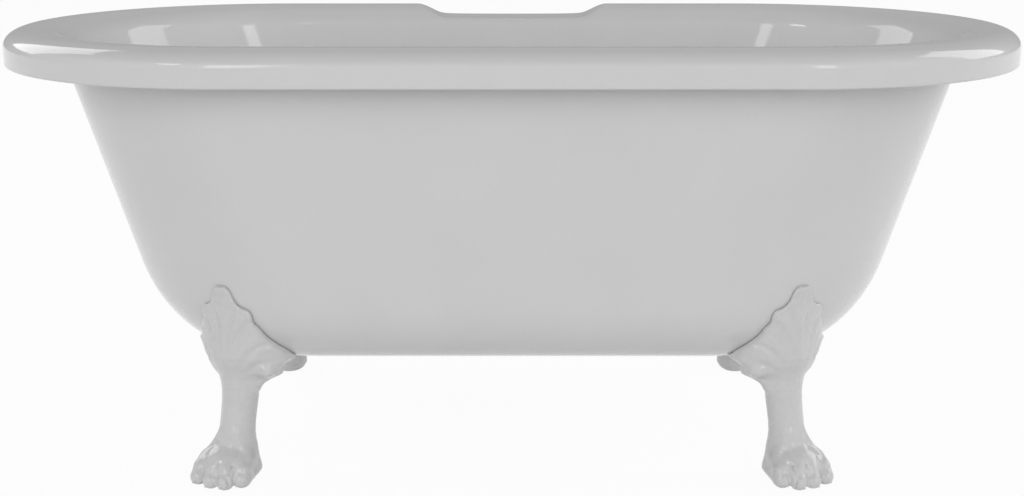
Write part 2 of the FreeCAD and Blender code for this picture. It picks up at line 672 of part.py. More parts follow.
def foot():
    """The front left claw foot: paw, shank, knee and leaf, and the tongue that is bolted up."""
    width, reach, height = dim("paw_width"), dim("paw_reach"), dim("paw_height")
    rings = [
        Part.Wire(Part.makeCircle(
            girth * dim("shank_radius"), V(0, -lean * dim("shank_lean"), up * dim("shank_height"))))
        for up, girth, lean in SHANK]
    shank = Part.makeLoft(rings, True, False)
    pieces = [ellipsoid(V(0, -0.2 * reach, 0.42 * height), width / 2, 0.62 * reach, 0.52 * height)]
    inner, outer = width / 2 - 1.1 * dim("toe_radius"), 0.13 * width
    for place, tip in ((-inner, 0.84 * reach), (-outer, reach), (outer, reach), (inner, 0.84 * reach)):
        pieces.append(toe(place, -0.42 * reach, -tip))
    tongue_bottom = number(TONGUE_TOP + " - tongue_thick")
    tongue_width, tongue_reach = dim("tongue_width"), dim("tongue_reach")
    pieces.append(Part.makeBox(
        tongue_width, tongue_reach, dim("tongue_thick"), V(-tongue_width / 2, 0, tongue_bottom)))
    pieces.append(Part.makeBox(
        tongue_width, dim("saddle_reach"), dim("paw_height"), V(-tongue_width / 2, 0, tongue_bottom)))
    for side in (-1, 1):
        place = side * (dim("leaf_half_width") - dim("scroll_inset"))
        scroll = V(place, dim("scroll_set_back"), dim("scroll_height"))
        pieces.append(ellipsoid(scroll, dim("scroll_radius"), dim("scroll_depth"), dim("scroll_radius")))
    seat = hull_solid(dim("bond_gap"))
    to_foot = FRONT_LEFT.inverse()
    seat.Placement = to_foot
    leaf_skin = hull_solid(dim("bond_gap") + dim("leaf_thick"))
    leaf_skin.Placement = to_foot
    outline = leaf_prism()
    pieces += [leaf_skin.common(outline), knee().common(outline)]
    seated = [piece.cut(seat) for piece in [shank] + pieces]
    shape = seated[0].fuse(seated[1:])
    room = 4 * dim("paw_width")
    below = Part.makeBox(room, room, room, V(-room / 2, -room / 2, dim("sole_lift") - room))
    recess_radius = dim("glide_pad") / 2 + dim("recess_play")
    recess_top = number("glide_sole_thick + glide_pad_thick + glide_nut_thick + nut_gap + recess_play / 8")
    axis = V(0, -dim("glide_offset"), 0)
    recess = Part.makeCylinder(recess_radius, recess_top, axis)
    bore_top = number("glide_sole_thick + glide_pad_thick + glide_stem + recess_play / 2")
    bore = Part.makeCylinder(dim("glide_thread") / 2 + dim("thread_play"), bore_top, axis)
    shape = shape.cut([below, recess, bore])
    for reach_in in BOLT_REACHES:
        hole = Part.makeCylinder(BOLT_HOLE / 2, room, V(0, reach_in, 0))
        shape = shape.cut(hole)
    shape = shape.removeSplitter()
    return feature("foot_front_left", shape, FRONT_LEFT)


def other_feet(first):
    """The other three feet are mirror images of the front left one."""
    for name, normals in (
        ("front_right", [V(1, 0, 0)]),
        ("rear_left", [V(0, 1, 0)]),
        ("rear_right", [V(1, 0, 0), V(0, 1, 0)]),
    ):
        thing = first
        for turn, normal in enumerate(normals):
            mirror = doc.addObject("Part::Mirroring", f"mirror_{turn}_{name}")
            mirror.Source = thing
            mirror.Normal = normal
            thing = mirror
        keep(thing, "foot_" + name)


def under_structure():
    """Base board under the basin, with a bearer under each end of it, screwed to it."""
    board_bottom = "well_floor - inner_wall - bond_gap - glass_wall - board_thick"
    plank = block("board_plank", BOARD_LENGTH, "board_width", "board_thick", z=board_bottom)
    hole = rod("board_waste_hole", "board_hole", "board_thick", z=board_bottom)
    slot = block(
        "board_hose_slot", "board_slot", "board_width / 2", "board_thick",
        y="board_width / 4", z=board_bottom)
    bearer_bottom = "hull_base + hull_wall + bond_gap"
    screw_spots = [
        (f"{side} * {BEARER_X}", f"{way} * bearer_screw_spacing / 2") for side in (-1, 1) for way in (-1, 1)]
    pilots = [
        rod("board_pilot_hole", "bearer_screw", "bearer_screw_length", x, y, bearer_bottom)
        for x, y in screw_spots]
    keep(cut("base_board_cut", plank, [hole, slot] + pilots), "base_board")
    screw = turned("screw_form", [
        ("0", "0"), ("bearer_screw / 2", "0"), ("bearer_screw / 2", "bearer_screw_length - bearer_screw"),
        ("bearer_screw / 8", "bearer_screw_length"), ("0", "bearer_screw_length"),
    ], z=bearer_bottom)
    group("bearer_screws", screw, [V(number(x), number(y), 0) for x, y in screw_spots])

    bearer_thick = f"{board_bottom} - ({bearer_bottom})"
    for side, sign in (("left", "-1"), ("right", "1")):
        x = f"{sign} * {BEARER_X}"
        plank = block(
            f"bearer_{side}_plank", "bearer_width", BEARER_LENGTH, bearer_thick, x, "0", bearer_bottom)
        holes = []
        for way in ("-1", "1"):
            for reach in ("bolt_near", "bolt_far"):
                holes.append(rod(
                    f"bearer_{side}_bolt_hole", "insert_diameter", bearer_thick,
                    f"{sign} * ({FOOT_X} - {reach} * sin(foot_turn))",
                    f"{way} * ({FOOT_Y} - {reach} * cos(foot_turn))", bearer_bottom))
        for way in ("-1", "1"):
            holes.append(rod(
                f"bearer_{side}_screw_hole", "bearer_screw", bearer_thick,
                x, f"{way} * bearer_screw_spacing / 2", bearer_bottom))
        keep(cut(f"bearer_{side}", plank, holes), f"bearer_{side}")


def foot_fasteners():
    """Foot bolts from below, their washers, and the threaded inserts in the bearers."""
    seat = f"{TONGUE_TOP} - tongue_thick"
    insert_bottom = "hull_base + hull_wall + bond_gap"
    shank_top = f"{insert_bottom} + bolt_grip"
    head = hexagon("bolt_head_form", "bolt_head", "bolt_head_height")
    bind(head, "Placement.Base.z", f"{seat} - washer_thick - bolt_head_height")
    stem = rod(
        "bolt_stem_form", "bolt_diameter", f"{shank_top} - ({seat}) + washer_thick",
        z=f"{seat} - washer_thick")
    bolt = fuse("bolt_form", [head, stem])
    group("foot_bolts", bolt, BOLT_SPOTS)

    washer = ring("washer_form", "washer_diameter", "bolt_diameter + 2 * bolt_play", "washer_thick",
                  z=f"{seat} - washer_thick")
    group("foot_bolt_washers", washer, BOLT_SPOTS)

    insert = ring("insert_form", "insert_diameter", "bolt_diameter + 2 * thread_play", "bolt_grip",
                  z=insert_bottom)
    group("bearer_inserts", insert, BOLT_SPOTS)


def glides():
    """A screwed levelling glide with a rubber sole in each paw, and its lock nut."""
    glide_spots = []
    for name, signs in FOOT_SIGNS.items():
        x = f"{signs[0]} * ({FOOT_X} + glide_offset * sin(foot_turn))"
        y = f"{signs[1]} * ({FOOT_Y} + glide_offset * cos(foot_turn))"
        glide_spots.append((x, y))
        pad, stem = "glide_pad / 2", "glide_thread / 2"
        top = "glide_pad_thick + glide_stem"
        keep(turned(f"glide_{name}", [
            ("0", "0"), (pad, "0"), (pad, "0.6 * glide_pad_thick"),
            (f"{pad} - glide_bevel", "glide_pad_thick"),
            (stem, "glide_pad_thick"), (stem, top), ("0", top),
        ], x, y, "glide_sole_thick"), f"glide_{name}")
        keep(turned(f"glide_sole_{name}", [
            ("0", "0"), (f"{pad} - sole_bevel", "0"), (pad, "sole_bevel"), (pad, "glide_sole_thick"),
            ("0", "glide_sole_thick"),
        ], x, y, "0"), f"glide_sole_{name}")
    nut_outside = hexagon("nut_outside_form", "glide_nut", "glide_nut_thick")
    nut_bore = rod("nut_bore_form", "glide_thread + 2 * thread_play", "glide_nut_thick")
    nut = cut("nut_form", nut_outside, [nut_bore])
    level = number("glide_sole_thick + glide_pad_thick + nut_gap")
    group("glide_lock_nuts", nut, [V(number(x), number(y), level) for x, y in glide_spots])


def waste():
    """The waste through the well's floor: flange, seals and body, and the pop-up plug with its stem."""
    floor = "well_floor"
    flange_bottom = f"{floor} + seal_thick"
    rim, neck, bore = "waste_rim / 2", "waste_neck / 2", "waste_bore / 2"
    under = "well_floor - inner_wall - bond_gap - glass_wall"
    neck_bottom = f"{flange_bottom} - waste_neck_length"
    flange = turned("waste_flange_turned", [
        (bore, "0"), (neck, "0"), (neck, "waste_neck_length"), (rim, "waste_neck_length"),
        (rim, "waste_neck_length + 0.5 * waste_rim_thick"),
        (f"{rim} - waste_bevel", "waste_neck_length + waste_rim_thick"),
        (f"{bore} + waste_bevel", "waste_neck_length + waste_rim_thick"), (bore, "waste_neck_length"),
    ], z=neck_bottom)
    bar_height = "waste_bar_height"
    bar_level = f"{neck_bottom} + waste_bar"
    bars = [
        block("waste_bar_along", "waste_bore + 1", "waste_bar", bar_height, z=bar_level),
        block("waste_bar_across", "waste_bar", "waste_bore + 1", bar_height, z=bar_level),
        rod("waste_hub_form", "waste_hub", bar_height, z=bar_level),
    ]
    whole = fuse("waste_flange_whole", [flange] + bars)
    guide = rod(
        "waste_guide_hole", "plug_stem_diameter + 2 * slide_play", "2 * waste_neck_length", z=neck_bottom)
    keep(cut("waste_flange", whole, [guide]), "waste_flange")
    keep(ring("waste_flange_seal", "waste_rim - 2 * seal_inset", "waste_hole", "seal_thick", z=floor),
         "waste_flange_seal")
    seal_bottom = f"{under} - seal_thick"
    keep(ring("waste_body_seal", "waste_collar - 2 * seal_inset", "waste_hole", "seal_thick", z=seal_bottom),
         "waste_body_seal")

    collar, outside, tail = "waste_collar / 2", "waste_body_diameter / 2", "waste_tail / 2"
    height = f"{seal_bottom} - waste_body_base + waste_tail_length"
    socket = f"{neck} + thread_play"
    socket_bottom = f"{neck_bottom} - waste_body_base + waste_tail_length"
    keep_height = f"{height} - waste_collar_thick"
    shell = turned("waste_body_turned", [
        (bore, "0"), (tail, "0"), (tail, "waste_tail_length"), (outside, "waste_tail_length"),
        (outside, keep_height), (collar, keep_height), (collar, height), (socket, height),
        (socket, socket_bottom), (bore, socket_bottom),
    ], z="waste_body_base - waste_tail_length")
    spigot_reach = "waste_collar / 2 + bond_gap + spigot_length"
    spigot = lying_rod("waste_spigot", "hose_bore - 2 * hose_play", spigot_reach, "0", "0", "hose_height")
    spigot_core = lying_rod("waste_spigot_bore", "spigot_bore", spigot_reach, "0", "0", "hose_height")
    inside = rod("waste_inside", "waste_bore", height, z="waste_body_base")
    neck_room = rod("waste_neck_room", "waste_neck + 2 * thread_play", height, z=neck_bottom)
    cable_x = "hose_diameter / 2 + cable_stand"
    boss = lying_rod("waste_cable_boss", "cable_boss", spigot_reach, cable_x, "0", "hose_height")
    outlets = cut("spigot_outside", fuse("spigots", [spigot, boss]), [inside, neck_room])
    keep(cut("waste_body", fuse("waste_body_whole", [shell, outlets]), [spigot_core]), "waste_body")

    plug_level = f"{flange_bottom} + waste_rim_thick + seal_thick"
    crown = "plug_diameter / 2"
    keep(turned("plug_cap", [
        ("0", "0"), (f"{crown} - plug_bevel", "0"), (crown, "plug_bevel"), (crown, "0.5 * plug_crown"),
        (f"{crown} - 2 * plug_bevel", "0.75 * plug_crown"),
        (f"0.6 * {crown}", "0.95 * plug_crown"), ("0", "plug_crown"),
    ], z=plug_level), "plug_cap")
    keep(ring("plug_seal", "plug_seal_diameter", "plug_seal_bore", "seal_thick - bond_gap",
              z=f"{plug_level} - seal_thick + bond_gap"), "plug_seal")
    keep(rod("plug_stem", "plug_stem_diameter", "plug_stem_length", z=f"{plug_level} - plug_stem_length"),
         "plug_stem")


def lying_rod(name, diameter, length, x="0", y="0", z="0"):
    """A cylinder that lies along +Y."""
    thing = rod(name, diameter, length)
    thing.Placement.Rotation = FreeCAD.Rotation(V(1, 0, 0), -90)
    return put(thing, x, y, z)


def wall_piece(thing, label):
    """Sets a piece that was made in the overflow's frame on the well's back wall."""
    doc.recompute()
    shape = thing.Shape.copy()
    shape.Placement = OVERFLOW.multiply(shape.Placement)
    return feature(label, shape)


def overflow():
    """The overflow through the back wall: rose, seals, body and the dial that works the plug."""
    rose, neck = "overflow_rose_diameter / 2", "overflow_neck / 2"
    rose_bottom = "seal_thick"
    neck_depth = "inner_wall + bond_gap + glass_wall + seal_thick + 0.5 * overflow_body_depth"
    bore = f"{neck} - overflow_neck_wall"
    rose_form = turned("rose_turned", [
        (bore, "0"), (neck, "0"), (neck, f"{neck_depth} + {rose_bottom}"),
        (rose, f"{neck_depth} + {rose_bottom}"),
        (f"{rose} - rose_bevel", f"{neck_depth} + {rose_bottom} + overflow_rose_thick"),
        (bore, f"{neck_depth} + {rose_bottom} + overflow_rose_thick"),
    ], z=f"-1 * ({neck_depth})")
    spokes = []
    span = "overflow_neck - overflow_neck_wall"
    for name, length, width in (("along", span, "rose_spoke"), ("across", "rose_spoke", span)):
        spokes.append(block(f"rose_spoke_{name}", length, width, "overflow_rose_thick", z=rose_bottom))
    hub = rod(
        "rose_hub_form", "rose_hub", "overflow_rose_thick + rose_spoke", z=f"{rose_bottom} - rose_spoke")
    spindle_hole = rod(
        "rose_spindle_hole", "spindle_diameter + 2 * slide_play", "overflow_neck", z="-0.5 * overflow_neck")
    whole = fuse("rose_whole", [rose_form, hub] + spokes)
    wall_piece(cut("rose_form", whole, [spindle_hole]), "overflow_rose")
    wall_piece(ring("rose_seal_form", "overflow_rose_diameter - 2 * seal_inset", "overflow_hole", "seal_thick"),
               "overflow_front_seal")

    back = "-1 * (inner_wall + bond_gap + glass_wall)"
    wall_piece(ring("body_seal_form", "overflow_body_diameter - 2 * seal_inset", "overflow_hole", "seal_thick",
                    z=f"{back} - seal_thick"), "overflow_rear_seal")
    outside, inside = "overflow_body_diameter / 2", "overflow_body_diameter / 2 - overflow_body_wall"
    mouth = f"{neck} + thread_play"
    depth = "overflow_body_depth"
    body_back = f"{back} - seal_thick - {depth}"
    pot = turned("overflow_pot", [
        ("0", "0"), (outside, "0"), (outside, depth), (mouth, depth), (mouth, f"{depth} - overflow_body_wall"),
        (inside, f"{depth} - overflow_body_wall"), (inside, "overflow_body_wall"), ("0", "overflow_body_wall"),
    ], z=body_back)
    axis_depth = f"{body_back} + {depth} / 2"
    spigot_reach = f"{outside} + spigot_length"
    low_end = f"-1 * ({spigot_reach})"
    spigot = lying_rod(
        "overflow_spigot", "hose_bore - 2 * hose_play", spigot_reach, "0", low_end, axis_depth)
    core = lying_rod("overflow_spigot_bore", "spigot_bore", spigot_reach, "0", low_end, axis_depth)
    boss_x = "hose_diameter / 2 + cable_stand"
    boss = lying_rod("overflow_cable_boss", "cable_boss", spigot_reach, boss_x, low_end, axis_depth)
    hollow = rod("overflow_hollow", f"2 * ({inside})", f"{depth} - 2 * overflow_body_wall",
                 z=f"{body_back} + overflow_body_wall")
    neck_room = rod("overflow_neck_room", f"2 * ({mouth})", depth, z=f"{body_back} + overflow_body_wall")
    outlets = cut("overflow_outlets", fuse("overflow_outlet_forms", [spigot, boss]), [hollow, neck_room])
    body_whole = fuse("overflow_body_whole", [pot, outlets])
    wall_piece(cut("overflow_body_form", body_whole, [core]), "overflow_body")

    face = f"{rose_bottom} + overflow_rose_thick + dial_stand"
    edge = "dial_diameter / 2"
    spindle = "spindle_diameter / 2"
    spindle_depth = f"{face} + spindle_reach"
    wall_piece(turned("dial_turned", [
        ("0", "0"), (spindle, "0"), (spindle, f"{spindle_depth} + dial_depth - dial_wall"),
        (f"{edge} - dial_wall", f"{spindle_depth} + dial_depth - dial_wall"),
        (f"{edge} - dial_wall", spindle_depth), (edge, spindle_depth),
        (edge, f"{spindle_depth} + dial_depth - dial_bevel"),
        (f"{edge} - dial_bevel", f"{spindle_depth} + dial_depth"),
        ("0", f"{spindle_depth} + dial_depth"),
    ], z="-1 * spindle_reach"), "overflow_dial")


def hose_frame():
    """Start, direction and length of the hose's straight run down the wall, and its bend's place."""
    centre_depth = number(
        "-1 * (inner_wall + bond_gap + glass_wall + seal_thick + overflow_body_depth / 2)")
    start = OVERFLOW.multVec(V(0, -number("overflow_body_diameter / 2 + 2"), centre_depth))
    down = OVERFLOW.Rotation.multVec(V(0, -1, 0))
    return start, down


def hose_path(across, gap):
    """Centre line down the wall, round under the well and in to the waste, at some place across."""
    start, down = hose_frame()
    bend, level = dim("hose_bend"), dim("hose_height")
    corner = start + down * ((start.z - level) / -down.z)
    turn = math.acos(down.dot(V(0, -1, 0)))
    tangent = bend * math.tan(turn / 2)
    before, after = corner - down * tangent, corner + V(0, -tangent, 0)
    to_centre = (V(0, -1, 0) - down).normalize()
    centre = corner + to_centre * (bend / math.cos(turn / 2))
    middle = centre - to_centre * bend
    finish = V(0, dim("waste_collar") / 2 + gap, level)
    shift = V(across, 0, 0)
    points = [start + down * gap, before, middle, after, finish]
    a, b, c, d, e = [p + shift for p in points]
    return Part.Wire([
        Part.LineSegment(a, b).toShape(), Part.Arc(b, c, d).toShape(), Part.LineSegment(d, e).toShape()])


def tube(path, outer, inner):
    """A round tube along a path, hollow where an inner radius is given."""
    first = path.Edges[0]
    start, along = first.valueAt(first.FirstParameter), first.tangentAt(first.FirstParameter)
    profile = Part.Wire(Part.makeCircle(outer, start, along))
    shape = path.makePipeShell([profile], True, False)
    if inner:
        core = path.makePipeShell([Part.Wire(Part.makeCircle(inner, start, along))], True, False)
        shape = shape.cut(core)
    return shape


def hose_and_cable():
    """The overflow hose with a clip at each end, and the control cable beside it."""
    play = dim("bond_gap")
    path = hose_path(0, play)
    hose = dim("hose_diameter") / 2
    feature("overflow_hose", tube(path, hose, dim("hose_bore") / 2))
    first, last = path.Edges[0], path.Edges[-1]
    inset, bite = dim("clip_inset"), dim("clip_bite")
    far_inset = inset + dim("clip_width")
    clips = []
    for spot, along in (
        (first.valueAt(first.FirstParameter + inset), first.tangentAt(first.FirstParameter)),
        (last.valueAt(last.LastParameter - far_inset), last.tangentAt(last.LastParameter)),
    ):
        inner = hose + play
        band = Part.makeCylinder(inner + dim("clip_thick"), dim("clip_width"), spot, along)
        worm = Part.makeBox(
            dim("clip_worm"), dim("clip_worm"), dim("clip_width"),
            V(-inner - dim("clip_worm") + bite, -dim("clip_worm") / 2, 0))
        worm.Placement = FreeCAD.Placement(spot, FreeCAD.Rotation(V(1, 0, 0), UP.cross(along), along))
        clips.append(band.fuse(worm).cut(Part.makeCylinder(inner, dim("clip_width"), spot, along)))
    feature("hose_clips", Part.makeCompound(clips))
    cable_path = hose_path(hose + dim("cable_stand"), dim("spigot_length") + play)
    feature("control_cable", tube(cable_path, dim("cable_diameter") / 2, 0))


inner_shell()
reinforcement_layer()
outer_shell()
under_structure()
other_feet(foot())
foot_fasteners()
glides()
waste()
overflow()
hose_and_cable()
doc.recompute()

for thing in doc.Objects:
    if "Invalid" in thing.State or "Error" in thing.State:
        raise RuntimeError(f"{thing.Name}: {thing.State}")
for node in nodes:
    if node.Shape.isNull() or not node.Shape.isValid() or not node.Shape.Solids:
        raise RuntimeError(f"{node.Label} has no valid solid")

os.makedirs(PARTS_FOLDER, exist_ok=True)
for node in nodes:
    node.Shape.exportStep(f"{PARTS_FOLDER}/{node.Label}.step")
    print(node.Label, len(node.Shape.Solids), round(node.Shape.Volume / 1000, 2))
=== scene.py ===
"""Dresses the clawfoot bathtub: its two skins, its claw feet, its materials, the light and the camera.

Objects are in metres. The shape functions work in millimetres, and make_object scales what they give.
"""
import json
import math

import bpy
import numpy as np
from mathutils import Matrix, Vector


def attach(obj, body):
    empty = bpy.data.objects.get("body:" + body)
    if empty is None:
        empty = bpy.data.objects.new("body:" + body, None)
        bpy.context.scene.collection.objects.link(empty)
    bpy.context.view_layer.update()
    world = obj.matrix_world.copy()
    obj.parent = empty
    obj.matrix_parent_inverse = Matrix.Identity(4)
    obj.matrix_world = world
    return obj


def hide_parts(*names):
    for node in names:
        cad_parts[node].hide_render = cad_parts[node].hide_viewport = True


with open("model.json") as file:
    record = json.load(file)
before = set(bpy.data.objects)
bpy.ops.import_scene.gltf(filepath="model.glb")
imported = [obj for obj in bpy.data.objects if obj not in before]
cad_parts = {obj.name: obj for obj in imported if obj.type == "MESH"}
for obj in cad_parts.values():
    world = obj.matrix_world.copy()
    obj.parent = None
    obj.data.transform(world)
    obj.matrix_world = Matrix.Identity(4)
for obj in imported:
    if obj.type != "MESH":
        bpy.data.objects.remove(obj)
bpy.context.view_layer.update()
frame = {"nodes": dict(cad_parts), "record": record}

MM = 0.001
SCENE = bpy.context.scene

# ---------------------------------------------------------------- camera

# The camera stands in front of the middle of the bath, and tips down by an angle in radians.
PHOTO_WIDTH = 1024
SENSOR_WIDTH = 36.0
FOCAL_PIXELS = 1505.6
CAMERA_DISTANCE = 2.2828
CAMERA_HEIGHT = 0.8474
CAMERA_DOWN = 0.2437

camera_data = bpy.data.cameras.new("camera")
camera_data.sensor_width = SENSOR_WIDTH
camera_data.lens = FOCAL_PIXELS / PHOTO_WIDTH * SENSOR_WIDTH
camera = bpy.data.objects.new("camera", camera_data)
camera.location = (0, -CAMERA_DISTANCE, CAMERA_HEIGHT)
camera.rotation_euler = (math.pi / 2 - CAMERA_DOWN, 0, 0)
SCENE.collection.objects.link(camera)
SCENE.camera = camera
SCENE.view_settings.view_transform = "Standard"

# ---------------------------------------------------------------- materials

BUMP_DISTANCE = 0.001
NOISE_DETAIL = 3.0
# Where the colour ramp over the noise starts and ends.
RAMP_LOW = 0.3
RAMP_HIGH = 0.7


def new_material(name):
    """A node material, with its tree, its Principled shader and a function that links two sockets."""
    material = bpy.data.materials.new(name)
    material.use_nodes = True
    tree = material.node_tree
    shader = tree.nodes["Principled BSDF"]

    def link(source, output, target, socket):
        tree.links.new(source.outputs[output], target.inputs[socket])

    return material, tree, shader, link


def noise_bump(tree, shader, link, scale, strength, stretch):
    """Adds a fine noise in the object's own coordinates to the surface's normal, and gives the noise back."""
    place = tree.nodes.new("ShaderNodeTexCoord")
    mapping = tree.nodes.new("ShaderNodeMapping")
    mapping.inputs["Scale"].default_value = stretch
    noise = tree.nodes.new("ShaderNodeTexNoise")
    noise.inputs["Scale"].default_value = scale
    noise.inputs["Detail"].default_value = NOISE_DETAIL
    bump = tree.nodes.new("ShaderNodeBump")
    bump.inputs["Strength"].default_value = strength
    bump.inputs["Distance"].default_value = BUMP_DISTANCE
    link(place, "Object", mapping, "Vector")
    link(mapping, "Vector", noise, "Vector")
    link(noise, "Fac", bump, "Height")
    link(bump, "Normal", shader, "Normal")
    return noise


def vary_colour(tree, shader, link, noise, dark, light):
    """Colours the surface from dark to light by a noise."""
    ramp = tree.nodes.new("ShaderNodeValToRGB")
    ramp.color_ramp.elements[0].position = RAMP_LOW
    ramp.color_ramp.elements[1].position = RAMP_HIGH
    ramp.color_ramp.elements[0].color = (*dark, 1)
    ramp.color_ramp.elements[1].color = (*light, 1)
    link(noise, "Fac", ramp, "Fac")
    link(ramp, "Color", shader, "Base Color")


def vary_roughness(tree, shader, link, noise, low, high):
    """Spreads the surface's roughness between two values by a noise."""
    spread = tree.nodes.new("ShaderNodeMapRange")
    spread.inputs["To Min"].default_value = low
    spread.inputs["To Max"].default_value = high
    link(noise, "Fac", spread, "Value")
    link(spread, "Result", shader, "Roughness")


def plain(name, dark, light, roughness, bump, scale, metallic=0.0, stretch=(1, 1, 1)):
    """A finish with slight variation of colour and roughness, and a fine unevenness of the surface."""
    material, tree, shader, link = new_material(name)
    shader.inputs["Metallic"].default_value = metallic
    noise = noise_bump(tree, shader, link, scale, bump, stretch)
    vary_colour(tree, shader, link, noise, dark, light)
    vary_roughness(tree, shader, link, noise, *roughness)
    return material


acrylic = plain("acrylic_white", (0.655, 0.655, 0.655), (0.670, 0.670, 0.670), (0.06, 0.09), 0.01, 9)
enamel = plain("foot_enamel", (0.620, 0.620, 0.620), (0.645, 0.645, 0.645), (0.06, 0.10), 0.02, 140)

# Finish of each material slot. After the name come its dark and light colours, its roughness, the strength of
# the unevenness, the fineness of the noise and, for metals, a 1.
MATERIALS = {
    "bath_acrylic": acrylic,
    "foot_enamel": enamel,
    "glass_fibre": plain("glass_fibre", (0.42, 0.39, 0.27), (0.60, 0.57, 0.43), (0.4, 0.7), 0.6, 90),
    "chipboard": plain("chipboard", (0.36, 0.24, 0.12), (0.62, 0.47, 0.28), (0.7, 0.9), 0.4, 220),
    "softwood": plain(
        "softwood", (0.48, 0.31, 0.15), (0.68, 0.50, 0.28), (0.5, 0.7), 0.3, 40, stretch=(6, 0.6, 6)),
    "zinc_steel": plain(
        "zinc_steel", (0.50, 0.50, 0.52), (0.64, 0.64, 0.65), (0.25, 0.42), 0.1, 160, 1.0),
    "insert_brass": plain(
        "insert_brass", (0.55, 0.38, 0.14), (0.68, 0.49, 0.20), (0.2, 0.35), 0.08, 120, 1.0),
    "sole_rubber": plain(
        "sole_rubber", (0.018, 0.018, 0.018), (0.035, 0.035, 0.036), (0.6, 0.8), 0.3, 300),
    "seal_rubber": plain("seal_rubber", (0.02, 0.02, 0.02), (0.04, 0.04, 0.04), (0.5, 0.7), 0.2, 300),
    "waste_chrome": plain(
        "waste_chrome", (0.80, 0.81, 0.82), (0.86, 0.87, 0.88), (0.04, 0.09), 0.01, 30, 1.0),
    "waste_plastic": plain(
        "waste_plastic", (0.020, 0.020, 0.022), (0.032, 0.032, 0.034), (0.4, 0.5), 0.12, 400),
    "hose_plastic": plain(
        "hose_plastic", (0.25, 0.255, 0.26), (0.32, 0.325, 0.33), (0.4, 0.55), 0.1, 200),
    "cable_plastic": plain(
        "cable_plastic", (0.012, 0.012, 0.012), (0.02, 0.02, 0.02), (0.4, 0.5), 0.1, 200),
    "clip_steel": plain(
        "clip_steel", (0.52, 0.52, 0.53), (0.66, 0.66, 0.66), (0.22, 0.36), 0.1, 180, 1.0),
}

for part in frame["record"]["subparts"]:
    node_mesh = frame["nodes"][part["node"]].data
    node_mesh.materials.clear()
    node_mesh.materials.append(MATERIALS[part["material_slot"]])

# ---------------------------------------------------------------- meshes


def make_object(name, vertices, faces, material, body, replaced):
    """A smooth mesh object from vertices in millimetres, riding on a body of the frame."""
    mesh = bpy.data.meshes.new(name)
    mesh.from_pydata((np.asarray(vertices, float) * MM).tolist(), [], [tuple(face) for face in faces])
    mesh.validate()
    mesh.materials.append(material)
    mesh.polygons.foreach_set("use_smooth", [True] * len(mesh.polygons))
    mesh.update()
    thing = bpy.data.objects.new(name, mesh)
    SCENE.collection.objects.link(thing)
    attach(thing, body)
    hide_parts(*replaced)


def loop_faces(rings, count):
    """Quads between closed rings of vertices, the last of which joins the first again."""
    ring = np.arange(rings)[:, None]
    place = np.arange(count)[None, :]
    here, after = ring * count, ((ring + 1) % rings) * count
    following = (place + 1) % count
    quads = np.stack([here + place, here + following, after + following, after + place], axis=-1)
    return quads.reshape(-1, 4)


# ---------------------------------------------------------------- the two skins

# Sizes of the bath in millimetres, and its leans in radians. They are those of the part's own skins.
TUB_HALF_LENGTH = 750.0
TUB_HALF_WIDTH = 375.0
RIM_HEIGHT = 630.0
LIP_DROP = 50.0
SHOULDER_RISE = 24.0
CREST_INSET = 35.0
CREST_LAND = 12.0
ROLL_END_WIDTH = 58.0
ROLL_SIDE_WIDTH = 44.0
ROLL_DROP = 36.0
INNER_WALL = 6.0
DECK_DROP = 20.0
DECK_HALF_FLAT = 125.0
DECK_RAMP = 29.0
WELL_FLOOR = 216.0
WELL_END_LEAN = math.radians(23)
WELL_SIDE_LEAN = math.radians(8)
WELL_END_BEND = 160.0
WELL_SIDE_BEND = 90.0
WASTE_HOLE_RADIUS = 26.0
HULL_BASE = 166.5
HULL_WALL = 4.0
HULL_END_HALF = 663.0
HULL_SIDE_HALF = 325.0
HULL_KNOWN_LEVEL = RIM_HEIGHT - LIP_DROP
HULL_END_LEAN = math.radians(17.4)
HULL_SIDE_LEAN = math.radians(6.84)
HULL_END_BEND = 230.0
HULL_END_HEEL = 75.0
HULL_END_BREAK = math.radians(46.5)
HULL_SIDE_BEND = 110.0
HULL_TOP = 614.0
SERVICE_HOLE_RADIUS = 42.0

# How the tap deck passes into its ramps, into the rim and, on the outer skin, under the inner one.
DECK_RAMP_BLEND = 7.0
DECK_RIM_BLEND = 7.0
DECK_TRIM = 0.25
HULL_DECK_GAP = 1.5
HULL_DECK_BLEND = 2.0

# Rows of vertices in each stretch of the inner skin's upper face, from the lip's edge to the waste.
LIP_ROWS = 7
FACE_ROWS = 7
SHOULDER_ROWS = 25
CREST_ROWS = 5
ROLL_ROWS = 26
WALL_ROWS = 26
BEND_ROWS = 26
FLOOR_ROWS = 14
# The same for its lower face, from the waste to the lip's edge.
UNDER_FLOOR_ROWS = 8
UNDER_BEND_ROWS = 14
UNDER_WALL_ROWS = 8
UNDER_ROLL_ROWS = 14
UNDER_SHOULDER_ROWS = 12
UNDER_LIP_ROWS = 5
# The same for the outer skin, from its top edge to the service hole.
HULL_WALL_ROWS = 30
HULL_HAUNCH_ROWS = 22
HULL_HEEL_ROWS = 16
HULL_FLOOR_ROWS = 10
# Where the roll gives way to the wall, as an angle on the roll, and how near its top a level may come.
ROLL_END_ANGLE = 0.1
NEAR_TOP = 1e-6


